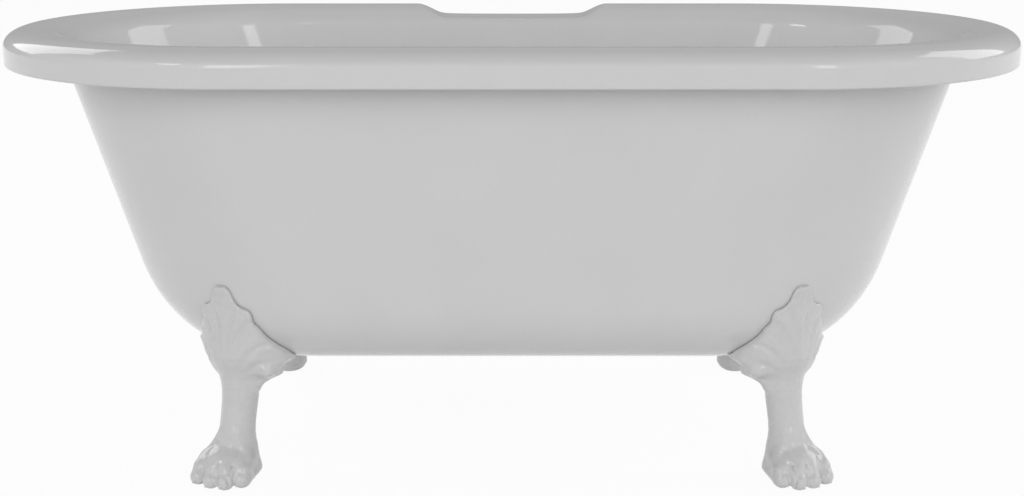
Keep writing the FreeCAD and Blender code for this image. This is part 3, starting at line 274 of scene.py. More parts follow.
def leaning_half(level, known_half, known_level, lean, base, bend, heel, break_angle):
    """Half size, at each level, of a wall that leans and then bends down to a flat base."""
    level = np.asarray(level, float)
    bend_level = base + heel + (bend - heel) * math.sin(break_angle)
    tangent_level = bend_level - bend * math.sin(lean)
    tangent_half = known_half - (known_level - tangent_level) * math.tan(lean)
    bend_half = tangent_half - bend * math.cos(lean)
    heel_half = bend_half + (bend - heel) * math.cos(break_angle)
    wall = known_half - (known_level - level) * math.tan(lean)
    haunch = bend_half + np.sqrt(np.maximum(0, bend ** 2 - (bend_level - level) ** 2))
    foot = heel_half + np.sqrt(np.maximum(0, heel ** 2 - (base + heel - level) ** 2))
    in_haunch = level >= bend_level - bend * math.sin(break_angle)
    return np.where(level >= tangent_level, wall, np.where(in_haunch, haunch, foot))


def hull_halves(level, offset=0.0):
    """Half length and half width of the outer skin at a level, grown by an offset."""
    half_length = leaning_half(
        level, HULL_END_HALF + offset / math.cos(HULL_END_LEAN), HULL_KNOWN_LEVEL, HULL_END_LEAN,
        HULL_BASE - offset, HULL_END_BEND + offset, HULL_END_HEEL + offset, HULL_END_BREAK)
    half_width = leaning_half(
        level, HULL_SIDE_HALF + offset / math.cos(HULL_SIDE_LEAN), HULL_KNOWN_LEVEL, HULL_SIDE_LEAN,
        HULL_BASE - offset, HULL_SIDE_BEND + offset, HULL_SIDE_BEND + offset, math.pi / 2)
    return half_length, half_width


def well_half(level, half, roll_width, lean, bend, offset):
    """Half size of the bathing well at a level below the rim's crest, grown by an offset."""
    across, upright = roll_width - offset, ROLL_DROP - offset
    roll_level, roll_half = RIM_HEIGHT - ROLL_DROP, half - CREST_INSET - CREST_LAND
    meet = math.atan(upright / across * math.tan(lean))
    meet_level = roll_level + upright * math.sin(meet)
    roll = roll_half - across * np.sqrt(np.maximum(0, 1 - ((level - roll_level) / upright) ** 2))
    wall = leaning_half(
        level, roll_half - across * math.cos(meet), meet_level, lean, WELL_FLOOR - offset,
        bend + offset, bend + offset, math.pi / 2)
    return np.where(level >= meet_level, roll, wall)


def well_halves(level, offset=0.0):
    """Half length and half width of the bathing well at a level, grown by an offset."""
    level = np.asarray(level, float)
    return (well_half(level, TUB_HALF_LENGTH, ROLL_END_WIDTH, WELL_END_LEAN, WELL_END_BEND, offset),
            well_half(level, TUB_HALF_WIDTH, ROLL_SIDE_WIDTH, WELL_SIDE_LEAN, WELL_SIDE_BEND, offset))


def stadium_columns():
    """Places round a level outline: share of the straight side, angle on an end, and side, which is 0 there.

    They lie closest where the tap deck ramps up to the rim.
    """
    ramp = np.linspace(0.30, 0.47, 26)
    middle = np.linspace(-0.28, 0.28, 24)
    outer = np.linspace(0.5, 1.0, 16)
    along = np.concatenate([-outer[::-1], -ramp[::-1], middle, ramp, outer])
    angles = np.linspace(-math.pi / 2, math.pi / 2, 97)[1:-1]
    columns = [(share, 0.0, -1.0) for share in along]
    columns += [(1.0, angle, 0.0) for angle in angles]
    columns += [(share, 0.0, 1.0) for share in along[::-1]]
    columns += [(-1.0, math.pi + angle, 0.0) for angle in angles]
    return np.array(columns)


COLUMNS = stadium_columns()


def stadium_points(half_lengths, half_widths, levels):
    """Points of a stack of level outlines, as an array of rows by columns by three."""
    a, b, z = (np.asarray(v, float)[:, None] for v in (half_lengths, half_widths, levels))
    share, angle, side = (COLUMNS[:, i][None, :] for i in range(3))
    straight = a - b
    on_end = side == 0
    x = straight * share + np.where(on_end, b * np.cos(angle), 0)
    y = np.where(on_end, b * np.sin(angle), b * side)
    return np.stack([x, y, np.broadcast_to(z, x.shape)], axis=-1)


def soft_min(first, second, blend):
    """The lower of two, with a rounded passage from one to the other."""
    gap = np.clip(0.5 + 0.5 * (second - first) / blend, 0, 1)
    return second * (1 - gap) + first * gap - blend * gap * (1 - gap)


def deck_level(x, depth):
    """Level of the tap deck and its ramps along the bath, some depth under the surface."""
    rise = (np.abs(x) - DECK_HALF_FLAT) / DECK_RAMP * DECK_DROP
    rounded = 0.5 * (rise + np.sqrt(rise ** 2 + DECK_RAMP_BLEND ** 2))
    return RIM_HEIGHT - DECK_DROP - depth + rounded - DECK_TRIM


def sink_deck(points, depth, blend=DECK_RIM_BLEND):
    """Lowers the rim at the back to the tap deck."""
    at_back = points[..., 1] > TUB_HALF_WIDTH / 2
    lowered = soft_min(points[..., 2], deck_level(points[..., 0], depth), blend)
    points[..., 2] = np.where(at_back, lowered, points[..., 2])
    return points


def rim_row(inset, level):
    """An outline that follows the rim's outer face, some way inside it."""
    return TUB_HALF_LENGTH - inset, TUB_HALF_WIDTH - inset, level


def bend_levels(base, bend, start, end, rows):
    """Levels on a bend that runs down to a base, between two steepnesses."""
    return [base + bend * (1 - math.sin(angle)) for angle in np.linspace(start, end, rows)]


def rows_to_hole(outline, radius, shares):
    """Outlines on a flat floor, at shares of the way from its own outline to a round hole in its middle."""
    length, width, level = outline
    return [(length + (radius - length) * share, width + (radius - width) * share, level) for share in shares]


def inner_shell():
    """Basin, roll, crest, shoulder and lip as one closed skin."""
    shoulder_level = RIM_HEIGHT - SHOULDER_RISE
    roll_level = RIM_HEIGHT - ROLL_DROP
    lip_radius = INNER_WALL / 2
    lip_level = RIM_HEIGHT - LIP_DROP + lip_radius

    def lip_row(angle):
        return rim_row(lip_radius * (1 - math.cos(angle)), lip_level + lip_radius * math.sin(angle))

    upper = [lip_row(angle) for angle in np.linspace(-math.pi / 2, 0, LIP_ROWS)]
    upper += [rim_row(0, level) for level in np.linspace(lip_level, shoulder_level, FACE_ROWS)[1:-1]]
    upper += [rim_row(CREST_INSET * (1 - math.cos(angle)), shoulder_level + SHOULDER_RISE * math.sin(angle))
              for angle in np.linspace(0, math.pi / 2, SHOULDER_ROWS)]
    upper += [rim_row(inset, RIM_HEIGHT)
              for inset in np.linspace(CREST_INSET, CREST_INSET + CREST_LAND, CREST_ROWS)[1:-1]]
    levels = [roll_level + ROLL_DROP * math.sin(angle)
              for angle in np.linspace(math.pi / 2, ROLL_END_ANGLE, ROLL_ROWS)]
    bend = bend_levels(WELL_FLOOR, WELL_END_BEND, WELL_END_LEAN, math.pi / 2, BEND_ROWS)
    levels += [*np.linspace(levels[-1], bend[0], WALL_ROWS)[1:], *bend[1:]]
    upper += [(*well_halves(level), level) for level in levels]
    upper += rows_to_hole(upper[-1], WASTE_HOLE_RADIUS, np.linspace(0, 1, FLOOR_ROWS)[1:])

    base = WELL_FLOOR - INNER_WALL
    floor_outline = (*well_halves(base, INNER_WALL), base)
    lower = rows_to_hole(floor_outline, WASTE_HOLE_RADIUS, np.linspace(1, 0, UNDER_FLOOR_ROWS))
    levels = bend_levels(base, WELL_END_BEND + INNER_WALL, math.pi / 2, WELL_END_LEAN, UNDER_BEND_ROWS)[1:]
    levels += list(np.linspace(levels[-1], roll_level, UNDER_WALL_ROWS)[1:])
    levels += [roll_level + (ROLL_DROP - INNER_WALL) * math.sin(angle)
               for angle in np.linspace(0, math.pi / 2, UNDER_ROLL_ROWS)[1:]]
    highest = RIM_HEIGHT - INNER_WALL - NEAR_TOP
    lower += [(*well_halves(min(level, highest), INNER_WALL), level) for level in levels]
    lower += [rim_row(INNER_WALL + (CREST_INSET - INNER_WALL) * (1 - math.cos(angle)),
                      shoulder_level + (SHOULDER_RISE - INNER_WALL) * math.sin(angle))
              for angle in np.linspace(math.pi / 2, 0, UNDER_SHOULDER_ROWS)]
    lower.append(rim_row(INNER_WALL, lip_level))
    lower += [lip_row(angle) for angle in np.linspace(math.pi, 3 * math.pi / 2, UNDER_LIP_ROWS)[1:-1]]

    points = np.concatenate([
        sink_deck(stadium_points(*zip(*upper)), 0),
        sink_deck(stadium_points(*zip(*lower)), INNER_WALL),
    ])
    faces = loop_faces(len(points), points.shape[1])
    make_object(
        "bath_inner_skin", points.reshape(-1, 3), faces, acrylic, "tub", ("inner_shell",))


def outer_shell():
    """Outer skin down to its flat bottom, with the service hole round the waste."""
    def face(offset):
        base = HULL_BASE - offset
        heel, bend = HULL_END_HEEL + offset, HULL_END_BEND + offset
        haunch_base = base + heel - bend + (bend - heel) * math.sin(HULL_END_BREAK)
        haunch = bend_levels(haunch_base, bend, HULL_END_LEAN, HULL_END_BREAK, HULL_HAUNCH_ROWS)
        levels = [*np.linspace(HULL_TOP, haunch[0], HULL_WALL_ROWS), *haunch[1:]]
        levels += bend_levels(base, heel, HULL_END_BREAK, math.pi / 2, HULL_HEEL_ROWS)[1:]
        rows = [(*hull_halves(level, offset), level) for level in levels]
        return rows + rows_to_hole(rows[-1], SERVICE_HOLE_RADIUS, np.linspace(0, 1, HULL_FLOOR_ROWS)[1:])

    rows = face(0) + face(-HULL_WALL)[::-1]
    points = sink_deck(stadium_points(*zip(*rows)), INNER_WALL + HULL_DECK_GAP, HULL_DECK_BLEND)
    faces = loop_faces(len(points), points.shape[1])
    make_object(
        "bath_outer_skin", points.reshape(-1, 3), faces, acrylic, "tub", ("outer_shell",))


inner_shell()
outer_shell()

# ---------------------------------------------------------------- claw feet

# Each foot is shaped as a distance field in its own frame, in millimetres: s across the foot, f forward to
# its toes, and z up from the floor. Its place, turn and seat under the bath are those of the part's foot.
FOOT_X = 392.0
FOOT_Y = 238.0
FOOT_TURN = math.radians(26)
FOOT_STEP = 1.5
FOOT_LOW = (-75.0, -162.0, -1.5)
FOOT_HIGH = (76.5, 82.5, 296.0)
# Each foot's name, and whether it mirrors the front left one along and across the bath.
FEET = (("front_left", 1, 1), ("front_right", -1, 1), ("rear_left", 1, -1), ("rear_right", -1, -1))
BOND_GAP = 0.3
BOND_BLEND = 1.0

# The leaf's outline from its tip down to the shank, as across and up, on the bath's inner and outer side.
LEAF_TOP = (
    (0, 291), (8, 291), (14, 284), (17, 275), (22, 266), (30, 260.5), (38, 258), (42, 250), (41.5, 240),
    (48, 230), (53, 217),
)
LEAF_INNER = LEAF_TOP + (
    (61, 205), (68, 195), (70, 186), (69, 177), (63, 170), (62.5, 163), (59, 155), (48, 149), (39, 143),
    (34, 137), (27, 128), (0, 120),
)
LEAF_OUTER = LEAF_TOP + (
    (61, 207), (68, 199), (65, 190), (60, 181), (53, 173), (44, 166), (38, 158), (33, 148), (27, 135),
    (0, 120),
)
# Level sections of the knee: level, half width, then how far forward its edge, flank and ridge stand.
KNEE = np.array((
    (112, 30, -12, 4, 12), (150, 50, -16, 6, 18), (162, 62, -18, 10, 22.5), (174, 68, -20, 14, 29),
    (186, 72, -21, 16.5, 32.5), (200, 72, -13, 18, 32), (215, 66, -4, 20.5, 31), (243, 57, 14, 24, 29),
    (262, 44, 20, 25, 28), (275, 34, 26, 28, 30.5), (288, 26, 31, 33, 35), (300, 24, 34, 36, 37),
), float)
# The shank: level, half width, half depth, and how far forward its middle stands.
SHANK = np.array((
    (16, 31, 28, 8), (36, 31, 29, 8), (48, 29.5, 28.5, 8), (58, 27.5, 27.5, 8), (68, 26, 26.5, 7),
    (82, 25.3, 26, 4.5), (98, 25.5, 26, 0.5), (115, 26, 26.5, -3.5), (134, 27, 27, -6.5),
    (152, 28.5, 28, -8), (172, 29, 30, -8), (196, 30, 30, -8),
), float)
# Creases between the leaf's lobes, from the leaf's edge in and down to the middle rib, as across and up.
CREASES = (
    ((25, 268), (17, 255), (9, 236), (6, 215)),
    ((42, 243), (31, 234), (19, 212), (11, 188)),
    ((59, 207), (47, 203), (33, 190), (22, 170)),
    ((58, 170), (50, 176), (38, 174), (27, 162)),
)
# Veins that stand up along the middle of each lobe.
VEINS = (
    ((10, 287), (5, 262), (3, 235)),
    ((36, 255), (24, 240), (13, 214), (8, 192)),
    ((52, 222), (40, 212), (27, 196), (16, 176)),
    ((63, 190), (50, 190), (38, 181), (26, 169)),
)
# The relief on the leaf: how high or deep the rib, creases and veins are, and how wide.
RIB_HEIGHT = 1.6
RIB_WIDTH = 3.6
RIB_LOW = 178.0
RIB_HIGH = 292.0
RIB_FADE = 14.0
RIDGE_ROUNDING = 3.0
CREASE_DEPTH = 1.9
CREASE_WIDTH = 3.6
SWELL_HEIGHT = 1.0
SWELL_WIDTH = 4.5
SWELL_AWAY = 7.0
VEIN_HEIGHT = 0.9
VEIN_WIDTH = 4.2
# How far the leaf's edge stands off the bath, by level, and how thick the leaf is from there down.
LEAF_STAND_LEVELS = (205, 280)
LEAF_STAND = (6.0, 3.2)
LEAF_THICK = 13.0
LEAF_THICK_ABOVE = 168.0
LEAF_THICK_GAIN = 3.5
# Slopes that bring the fields of the leaf's face and back near to true distances.
FACE_SLOPE = 0.8
BACK_SLOPE = 0.85
SHANK_SLOPE = 26.0
# Lumps at the roots of the leaf's scrolls, and the saddle and tongue under the bath: a middle and radii, or
# two corners and a rounding.
SCROLLS = (((48, -4, 166), (13, 12, 12)), ((-26, -3, 168), (13, 12, 13)))
SADDLE = ((-26, -84, 157.2), (26, -4, 230), 3)
TONGUE = ((-26, -158, 157.2), (26, 0, 166.2), 1.5)

# The paw's ball and heel as middles and radii, and the rod along its inner side.
PAW_TOP = 96.0
PAW_BALL = ((-4, 24, 28), (37, 37, 30))
PAW_HEEL = ((2, -3, 15), (24, 21, 18))
PAW_SIDE = ((18, 2, 15), (27, 32, 13), 13.5, 12.5)
# Each toe's knuckle and pad, as across and forward, and its radius.
TOES = (
    ((-34, 34), (-33, 58), 12.0), ((-11, 39), (-8, 62.5), 12.0), ((10, 35), (14, 59.5), 12.0),
    ((24, 22), (30, 42), 12.0),
)
KNUCKLE_LEVEL = 33.0
# A toe bends at a joint, some share of the way from its knuckle to its pad.
JOINT_LEVEL = 25.0
JOINT_SHARE = 0.65
PAD_LIFT = 0.5
# Tendons run to the knuckles from places forward of and above the shank's foot, closer together.
TENDON_ROOT = (26, 74)
TENDON_SPREAD = 0.4
TENDON_END_LEVEL = 40.0
# The clefts between the toes run down from one level to another, and then straight to the floor.
CLEFT_TOP = 46.0
CLEFT_BEND = 24.0
SOLE_LEVEL = 1.5

# The glide's recess and threaded bore in the paw, and the foot bolts' holes in the tongue.
GLIDE_FORWARD = 12.0
GLIDE_RECESS = (22.0, 14.9)
GLIDE_BORE = (5.2, 54.0)
BOLT_REACHES = (112, 142)
BOLT_HOLE_RADIUS = 4.5


def soft_union(first, second, blend):
    """The two shapes joined, with a passage between them that is rounded over blend millimetres."""
    gap = np.maximum(blend - np.abs(first - second), 0) / blend
    return np.minimum(first, second) - gap * gap * blend * 0.25


def soft_cut(first, second, blend):
    """The part of the first shape that is also in the second, with a rounded edge."""
    return -soft_union(-first, -second, blend)


def capsule(s, f, z, start, end, start_radius, end_radius):
    """Distance from a rod with round ends that tapers from one radius to the other."""
    a, b = np.asarray(start, float), np.asarray(end, float)
    along = b - a
    offset = s - a[0], f - a[1], z - a[2]
    share = np.clip(sum(part * step for part, step in zip(offset, along)) / float(along @ along), 0, 1)
    reach = np.sqrt(sum((part - share * step) ** 2 for part, step in zip(offset, along)))
    return reach - (start_radius + (end_radius - start_radius) * share)


def ellipsoid(s, f, z, centre, radii):
    """Distance from an egg shape, which is near the truth close to its surface."""
    ps, pf, pz = (value - place for value, place in zip((s, f, z), centre))
    near = np.sqrt((ps / radii[0]) ** 2 + (pf / radii[1]) ** 2 + (pz / radii[2]) ** 2)
    far = np.sqrt((ps / radii[0] ** 2) ** 2 + (pf / radii[1] ** 2) ** 2 + (pz / radii[2] ** 2) ** 2)
    return near * (near - 1) / np.maximum(far, 1e-6)


def block(s, f, z, low, high, rounding):
    """Distance from a box between two corners, with rounded edges."""
    out = [np.maximum(lo + rounding - value, value - hi + rounding)
           for value, lo, hi in zip((s, f, z), low, high)]
    outside = np.sqrt(sum(np.maximum(value, 0) ** 2 for value in out))
    inside = np.minimum(np.maximum(np.maximum(out[0], out[1]), out[2]), 0)
    return outside + inside - rounding


FAR = 1e9


def polygon_distance(across, up, corners):
    """Signed distance in the plane of across and up from a closed outline, negative inside."""
    best = np.full(across.shape, FAR)
    inside = np.zeros(across.shape, bool)
    for (x0, y0), (x1, y1) in zip(corners, corners[1:] + corners[:1]):
        ex, ey = x1 - x0, y1 - y0
        length = ex * ex + ey * ey
        if length == 0:
            continue
        px, py = across - x0, up - y0
        share = np.clip((px * ex + py * ey) / length, 0, 1)
        best = np.minimum(best, (px - share * ex) ** 2 + (py - share * ey) ** 2)
        if ey != 0:
            crosses = ((up >= y0) != (up >= y1)) & (px < ex * py / ey)
            inside ^= crosses
    return np.where(inside, -1, 1) * np.sqrt(best)


def line_distance(across, up, points):
    """Distance from a chain of straight runs in the plane, and the share of the way along it."""
    best, place = np.full(across.shape, FAR), np.zeros(across.shape)
    runs = list(zip(points, points[1:]))
    for number, ((x0, y0), (x1, y1)) in enumerate(runs):
        ex, ey = x1 - x0, y1 - y0
        share = np.clip(((across - x0) * ex + (up - y0) * ey) / (ex * ex + ey * ey), 0, 1)
        reach = np.hypot(across - x0 - share * ex, up - y0 - share * ey)
        nearer = reach < best
        best = np.where(nearer, reach, best)
        place = np.where(nearer, (number + share) / len(runs), place)
    return best, place


def smooth_chain(points, steps=6):
    """A chain of points rounded into a smooth curve through them."""
    p = np.array([2 * np.array(points[0]) - np.array(points[1]), *points,
                  2 * np.array(points[-1]) - np.array(points[-2])], float)
    out = []
    for i in range(1, len(p) - 2):
        for u in np.linspace(0, 1, steps, endpoint=False):
            out.append(0.5 * (2 * p[i] + (p[i + 1] - p[i - 1]) * u
                              + (2 * p[i - 1] - 5 * p[i] + 4 * p[i + 1] - p[i + 2]) * u ** 2
                              + (3 * p[i] - p[i - 1] - 3 * p[i + 1] + p[i + 2]) * u ** 3))
    out.append(p[-2])
    return [tuple(float(v) for v in point) for point in out]


def hull_distance(s, f, z):
    """Distance from the bath's outer skin at points of the foot's frame, negative inside the bath."""
    x = -FOOT_X + s * math.cos(FOOT_TURN) - f * math.sin(FOOT_TURN)
    y = -FOOT_Y - s * math.sin(FOOT_TURN) - f * math.cos(FOOT_TURN)
    levels = np.maximum(z, HULL_BASE + 0.01)
    a, b = hull_halves(levels)
    rho = np.hypot(np.maximum(np.abs(x) - (a - b), 0), y)
    bend_level = HULL_BASE + HULL_SIDE_BEND
    bend_half = float(hull_halves(np.array([bend_level]))[1][0]) - HULL_SIDE_BEND
    low = np.hypot(np.maximum(rho - bend_half, 0), z - bend_level) - HULL_SIDE_BEND
    high = (rho - b) * math.cos(HULL_SIDE_LEAN)
    low = np.where(rho < bend_half, HULL_BASE - z, low)
    return np.where(z < bend_level, low, high)


def soft_line(reach, width):
    """A soft rise of height 1 along a line, from the distance to it."""
    return np.exp(-(reach / width) ** 2)


def leaf_front(across, up):
    """How far forward the leaf's face stands, with its ridge, lobes, creases and veins."""
    level = KNEE[:, 0]
    half, edge, flank, ridge = (np.interp(up, level, KNEE[:, i]) for i in range(1, 5))
    u = (np.sqrt(across ** 2 + RIDGE_ROUNDING ** 2) - RIDGE_ROUNDING) / half
    front = ridge + (4 * flank - 3 * ridge - edge) * u + (2 * ridge - 4 * flank + 2 * edge) * u ** 2
    rib_ends = np.clip((up - RIB_LOW) / RIB_FADE, 0, 1) * np.clip((RIB_HIGH - up) / RIB_FADE, 0, 1)
    front += RIB_HEIGHT * soft_line(across, RIB_WIDTH) * rib_ends
    wide = np.abs(across)
    for chain in CREASES:
        reach, place = line_distance(wide, up, smooth_chain(chain))
        fade = np.clip((1 - place) / 0.5, 0, 1) ** 0.8
        front -= CREASE_DEPTH * fade * soft_line(reach, CREASE_WIDTH)
        front += SWELL_HEIGHT * fade * soft_line(reach - SWELL_AWAY, SWELL_WIDTH)
    for chain in VEINS:
        reach, place = line_distance(wide, up, smooth_chain(chain))
        fade = np.clip((1 - place) / 0.4, 0, 1) * np.clip(place / 0.12, 0, 1)
        front += VEIN_HEIGHT * fade * soft_line(reach, VEIN_WIDTH)
    return front


def leaf_field(s, f, z, hull):
    """Distance from the leaf, which lies on the bath and thickens down to the shank."""
    across, up = np.broadcast_arrays(s[:, 0, :], z[0])
    inner, outer = smooth_chain(LEAF_INNER, 4), smooth_chain(LEAF_OUTER, 4)
    outline = polygon_distance(across, up, inner + [(-place, level) for place, level in outer[::-1]])
    front = leaf_front(across, up)
    thick = LEAF_THICK + np.maximum(up - LEAF_THICK_ABOVE, 0) * LEAF_THICK_GAIN
    stand = np.interp(z, LEAF_STAND_LEVELS, LEAF_STAND)
    face = soft_union((f - front[:, None, :]) * FACE_SLOPE, hull - stand, 7)
    leaf = soft_cut(face, outline[:, None, :], 4.5)
    return soft_cut(leaf, (front[:, None, :] - thick[:, None, :] - f) * BACK_SLOPE, 5)


def shank_field(s, f, z):
    """Distance from the shank, an oval rod whose size and middle change with the level."""
    width, depth, middle = (np.interp(z, SHANK[:, 0], SHANK[:, i]) for i in range(1, 4))
    shank = (np.sqrt((s / width) ** 2 + ((f - middle) / depth) ** 2) - 1) * SHANK_SLOPE
    return np.maximum(shank, np.maximum(SHANK[0, 0] - z, z - SHANK[-1, 0]))


def middle_of(first, second):
    """The place halfway between two."""
    return [(a + b) / 2 for a, b in zip(first, second)]


def paw_field(s, f, z):
    """Distance from the paw, with its four toes, their tendons and claws, and the clefts between them."""
    def rod(*ends):
        return capsule(s, f, z, *ends)

    paw = ellipsoid(s, f, z, *PAW_BALL)
    paw = soft_union(paw, ellipsoid(s, f, z, *PAW_HEEL), 8)
    paw = soft_union(paw, rod(*PAW_SIDE), 8)
    for (knuckle_s, knuckle_f), (pad_s, pad_f), radius in TOES:
        knuckle = (knuckle_s, knuckle_f, KNUCKLE_LEVEL)
        pad = (pad_s, pad_f, radius + PAD_LIFT)
        joint = (knuckle_s + JOINT_SHARE * (pad_s - knuckle_s), knuckle_f + JOINT_SHARE * (pad_f - knuckle_f),
                 JOINT_LEVEL)
        toe = soft_union(rod(knuckle, joint, radius, radius - 1), rod(joint, pad, radius - 1, radius), 3)
        paw = soft_union(paw, toe, 6)
        root = (knuckle_s * TENDON_SPREAD, *TENDON_ROOT)
        paw = soft_union(paw, rod(root, (knuckle_s, knuckle_f, TENDON_END_LEVEL), 2.2, 4.4), 6)
        claw = rod((pad_s, pad_f + 6, 19), (pad_s, pad_f + radius + 1.5, 8), 4.2, 1.8)
        paw = soft_union(paw, claw, 1.5)
    for left, right in zip(TOES, TOES[1:]):
        knuckle_s, knuckle_f = middle_of(left[0], right[0])
        pad_s, pad_f = middle_of(left[1], right[1])
        bend = (pad_s, pad_f + 14, CLEFT_BEND)
        cleft = rod((knuckle_s, knuckle_f + 4, CLEFT_TOP), bend, 0.4, 1.0)
        under = rod(bend, (pad_s, pad_f + 13, 0), 1.0, 1.2)
        paw = soft_cut(paw, -np.minimum(cleft, under), 4)
    return soft_cut(paw, SOLE_LEVEL - z, 3)


def foot_field(s, f, z):
    """Distance of points in the foot's frame from the foot's surface."""
    hull = hull_distance(s, f, z)
    whole = soft_union(leaf_field(s, f, z, hull), shank_field(s, f, z), 5)
    for centre, radii in SCROLLS:
        whole = soft_union(whole, ellipsoid(s, f, z, centre, radii), 8)
    whole = soft_union(whole, block(s, f, z, *SADDLE), 6)
    whole = soft_union(whole, block(s, f, z, *TONGUE), 3)
    whole = soft_cut(whole, BOND_GAP - hull, BOND_BLEND)

    low = np.count_nonzero(z[0, 0, :] < PAW_TOP)
    whole[:, :, :low] = soft_union(whole[:, :, :low], paw_field(s, f, z[:, :, :low]), 9)
    whole = soft_cut(whole, SOLE_LEVEL - z, 1.5)

    for radius, top in (GLIDE_RECESS, GLIDE_BORE):
        hole = np.maximum(np.hypot(s, f - GLIDE_FORWARD) - radius, z - top)
        whole = np.maximum(whole, -hole)
    for reach in BOLT_REACHES:
        whole = np.maximum(whole, BOLT_HOLE_RADIUS - np.hypot(s, f + reach))
    return whole


def surface_net(field, origin, step):
    """Meshes the zero surface of a field on a regular grid: one vertex in each cell that it crosses."""
    inside = field < 0
    size = np.array(field.shape) - 1
    total = np.zeros((*size, 3), np.float32)
    count = np.zeros(size, np.float32)
    crossings = []
    for axis in range(3):
        low = [slice(None)] * 3
        high = [slice(None)] * 3
        low[axis], high[axis] = slice(0, -1), slice(1, None)
        mask = inside[tuple(low)] != inside[tuple(high)]
        place = np.argwhere(mask)
        first, second = field[tuple(low)][mask], field[tuple(high)][mask]
        points = place.astype(np.float32)
        points[:, axis] += first / (first - second)
        others = [other for other in range(3) if other != axis]
        for shifts in ((0, 0), (0, 1), (1, 0), (1, 1)):
            cell = place.copy()
            cell[:, others] -= shifts
            good = np.all((cell >= 0) & (cell < size), axis=1)
            spot = tuple(cell[good].T)
            np.add.at(total, spot, points[good])
            np.add.at(count, spot, 1)
        crossings.append((axis, others, place, first < 0))
    used = count > 0
    index = np.full(count.shape, -1, np.int64)
    index[used] = np.arange(np.count_nonzero(used))
    vertices = total[used] / count[used][:, None] * step + np.asarray(origin)
    quads = []
    for axis, others, place, starts_inside in crossings:
        good = np.all((place[:, others] > 0) & (place[:, others] < size[others]), axis=1)
        place, starts_inside = place[good], starts_inside[good]
        corners = []
        for shifts in ((0, 0), (1, 0), (1, 1), (0, 1)):
            cell = place.copy()
            cell[:, others] -= shifts
            corners.append(index[tuple(cell.T)])
        quad = np.stack(corners, axis=1)
        flip = starts_inside if axis != 1 else ~starts_inside
        quad[~flip] = quad[~flip][:, ::-1]
        quads.append(quad)
    return vertices, np.concatenate(quads)


def foot_mesh():
    """Vertices and quads of the front left foot in its own frame."""
    s, f, z = (np.arange(low, high, FOOT_STEP, dtype=np.float32) for low, high in zip(FOOT_LOW, FOOT_HIGH))
    field = foot_field(s[:, None, None], f[None, :, None], z[None, None, :])
    return surface_net(np.ascontiguousarray(field, dtype=np.float32), FOOT_LOW, FOOT_STEP)


def feet():
    """Puts the foot under the front left corner, and its mirror images under the others."""
    local, quads = foot_mesh()
    turn_cos, turn_sin = math.cos(FOOT_TURN), math.sin(FOOT_TURN)
    x = -FOOT_X + local[:, 0] * turn_cos - local[:, 1] * turn_sin
    y = -FOOT_Y - local[:, 0] * turn_sin - local[:, 1] * turn_cos
    for name, x_sign, y_sign in FEET:
        vertices = np.stack([x * x_sign, y * y_sign, local[:, 2]], axis=1)
        faces = quads if x_sign * y_sign < 0 else quads[:, ::-1]
        make_object(f"claw_foot_{name}", vertices, faces, enamel, "tub", (f"foot_{name}",))


feet()

# ---------------------------------------------------------------- floor and light

FLOOR_REACH = 14.0
FLOOR_TONE = 0.88
FLOOR_ROUGHNESS = 0.9
FLOOR_WHITE_SHARE = 0.95


def floor_white():
    """A pale floor that looks white to the camera and in gloss, and keeps the bath's soft shadow."""
    material, tree, shader, link = new_material("floor_pale")
    shader.inputs["Base Color"].default_value = (FLOOR_TONE, FLOOR_TONE, FLOOR_TONE, 1)
    shader.inputs["Roughness"].default_value = FLOOR_ROUGHNESS
    path = tree.nodes.new("ShaderNodeLightPath")
    white = tree.nodes.new("ShaderNodeEmission")
    mix = tree.nodes.new("ShaderNodeMixShader")
    seen, output = path, "Is Camera Ray"
    for ray in ("Is Glossy Ray", "Is Transmission Ray"):
        larger = tree.nodes.new("ShaderNodeMath")
        larger.operation = "MAXIMUM"
        link(seen, output, larger, 0)
        link(path, ray, larger, 1)
        seen, output = larger, "Value"
    share = tree.nodes.new("ShaderNodeMath")
    share.operation = "MULTIPLY"
    share.inputs[1].default_value = FLOOR_WHITE_SHARE
    link(seen, output, share, 0)
    link(share, "Value", mix, "Fac")
    link(shader, "BSDF", mix, 1)
    link(white, "Emission", mix, 2)
    link(mix, "Shader", tree.nodes["Material Output"], "Surface")
    return material


floor_mesh = bpy.data.meshes.new("floor")
floor_corners = [(x * FLOOR_REACH, y * FLOOR_REACH, 0) for x, y in ((-1, -1), (1, -1), (1, 1), (-1, 1))]
floor_mesh.from_pydata(floor_corners, [], [(0, 1, 2, 3)])
floor_mesh.materials.append(floor_white())
floor = bpy.data.objects.new("floor", floor_mesh)
SCENE.collection.objects.link(floor)

# Radiance of the room: bright in front of the bath, dimmer overhead and behind it. Each passage runs between
# two values of a direction's Y or Z.
ROOM_FRONT = 1.15
ROOM_BACK = 0.40
ROOM_FRONT_END = -0.9
ROOM_BACK_START = 0.7
ROOM_TOP_SHARE = 0.14
ROOM_TOP_START = 0.35
ROOM_TOP_END = 0.95

world = bpy.data.worlds.new("studio")
world.use_nodes = True
SCENE.world = world
sky = world.node_tree
sky_place = sky.nodes.new("ShaderNodeTexCoord")
sky_split = sky.nodes.new("ShaderNodeSeparateXYZ")
sky.links.new(sky_place.outputs["Generated"], sky_split.inputs["Vector"])


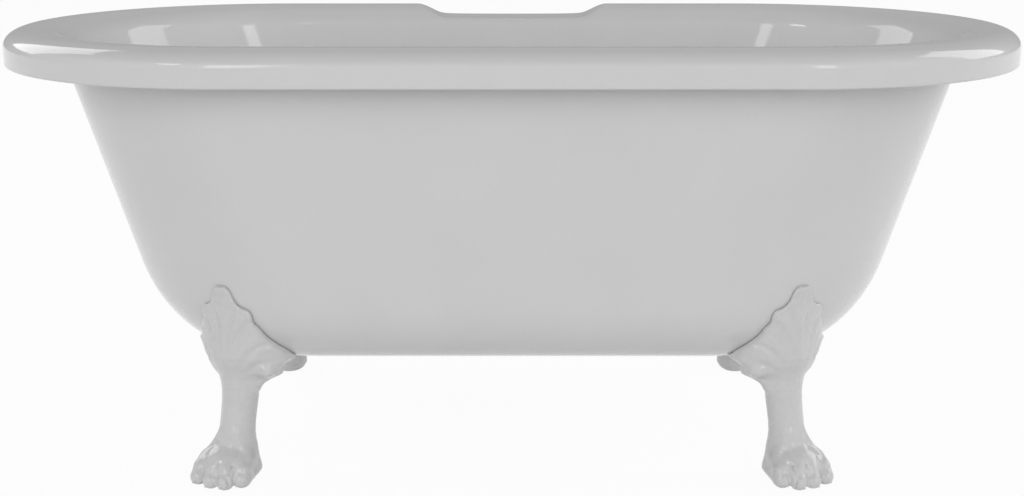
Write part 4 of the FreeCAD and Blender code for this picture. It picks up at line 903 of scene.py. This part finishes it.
def sky_fade(axis, start, end, first, last):
    """A smooth change of strength from one value of a direction's axis to another."""
    fade = sky.nodes.new("ShaderNodeMapRange")
    fade.interpolation_type = "SMOOTHSTEP"
    for socket, value in (("From Min", start), ("From Max", end), ("To Min", first), ("To Max", last)):
        fade.inputs[socket].default_value = value
    sky.links.new(sky_split.outputs[axis], fade.inputs["Value"])
    return fade


room_depth = sky_fade("Y", ROOM_FRONT_END, ROOM_BACK_START, ROOM_FRONT, ROOM_BACK)
room_rise = sky_fade("Z", ROOM_TOP_START, ROOM_TOP_END, 1.0, ROOM_TOP_SHARE)
room = sky.nodes.new("ShaderNodeMath")
room.operation = "MULTIPLY"
sky.links.new(room_depth.outputs["Result"], room.inputs[0])
sky.links.new(room_rise.outputs["Result"], room.inputs[1])
sky.links.new(room.outputs["Value"], sky.nodes["Background"].inputs["Strength"])
sky.nodes["Background"].inputs["Color"].default_value = (1, 1, 1, 1)


# Softboxes face the middle of the bath at the level of its rim, from one distance. Each has a turn from the
# camera's side towards the right, a rise, a width and a height in degrees as seen from there, and a radiance.
RIM_LEVEL = 0.6
SOFTBOX_DISTANCE = 6.0
SOFTBOXES = (
    ("box_left", -121, 29, 28, 34, 2.4),
    ("box_right", 104, 26, 28, 40, 2.4),
    ("strip_left", -16, 18, 7, 22, 3.4),
    ("strip_right", 22, 16, 8, 22, 3.4),
    ("box_small", -38, 30, 9, 5, 7.0),
)


def softbox(name, turn, rise, wide, tall, radiance):
    """A rectangular lamp that the bath sees in a direction, with a size as an angle, and of a radiance."""
    turn, rise = math.radians(turn), math.radians(rise)
    width, height = (2 * SOFTBOX_DISTANCE * math.tan(math.radians(angle) / 2) for angle in (wide, tall))
    data = bpy.data.lights.new(name, "AREA")
    data.shape = "RECTANGLE"
    data.size, data.size_y = width, height
    data.energy = radiance * math.pi * width * height
    away = Vector((math.sin(turn) * math.cos(rise), -math.cos(turn) * math.cos(rise), math.sin(rise)))
    lamp = bpy.data.objects.new(name, data)
    lamp.location = Vector((0, 0, RIM_LEVEL)) + SOFTBOX_DISTANCE * away
    lamp.rotation_euler = (-away).to_track_quat("-Z", "Y").to_euler()
    SCENE.collection.objects.link(lamp)


for row in SOFTBOXES:
    softbox(*row)
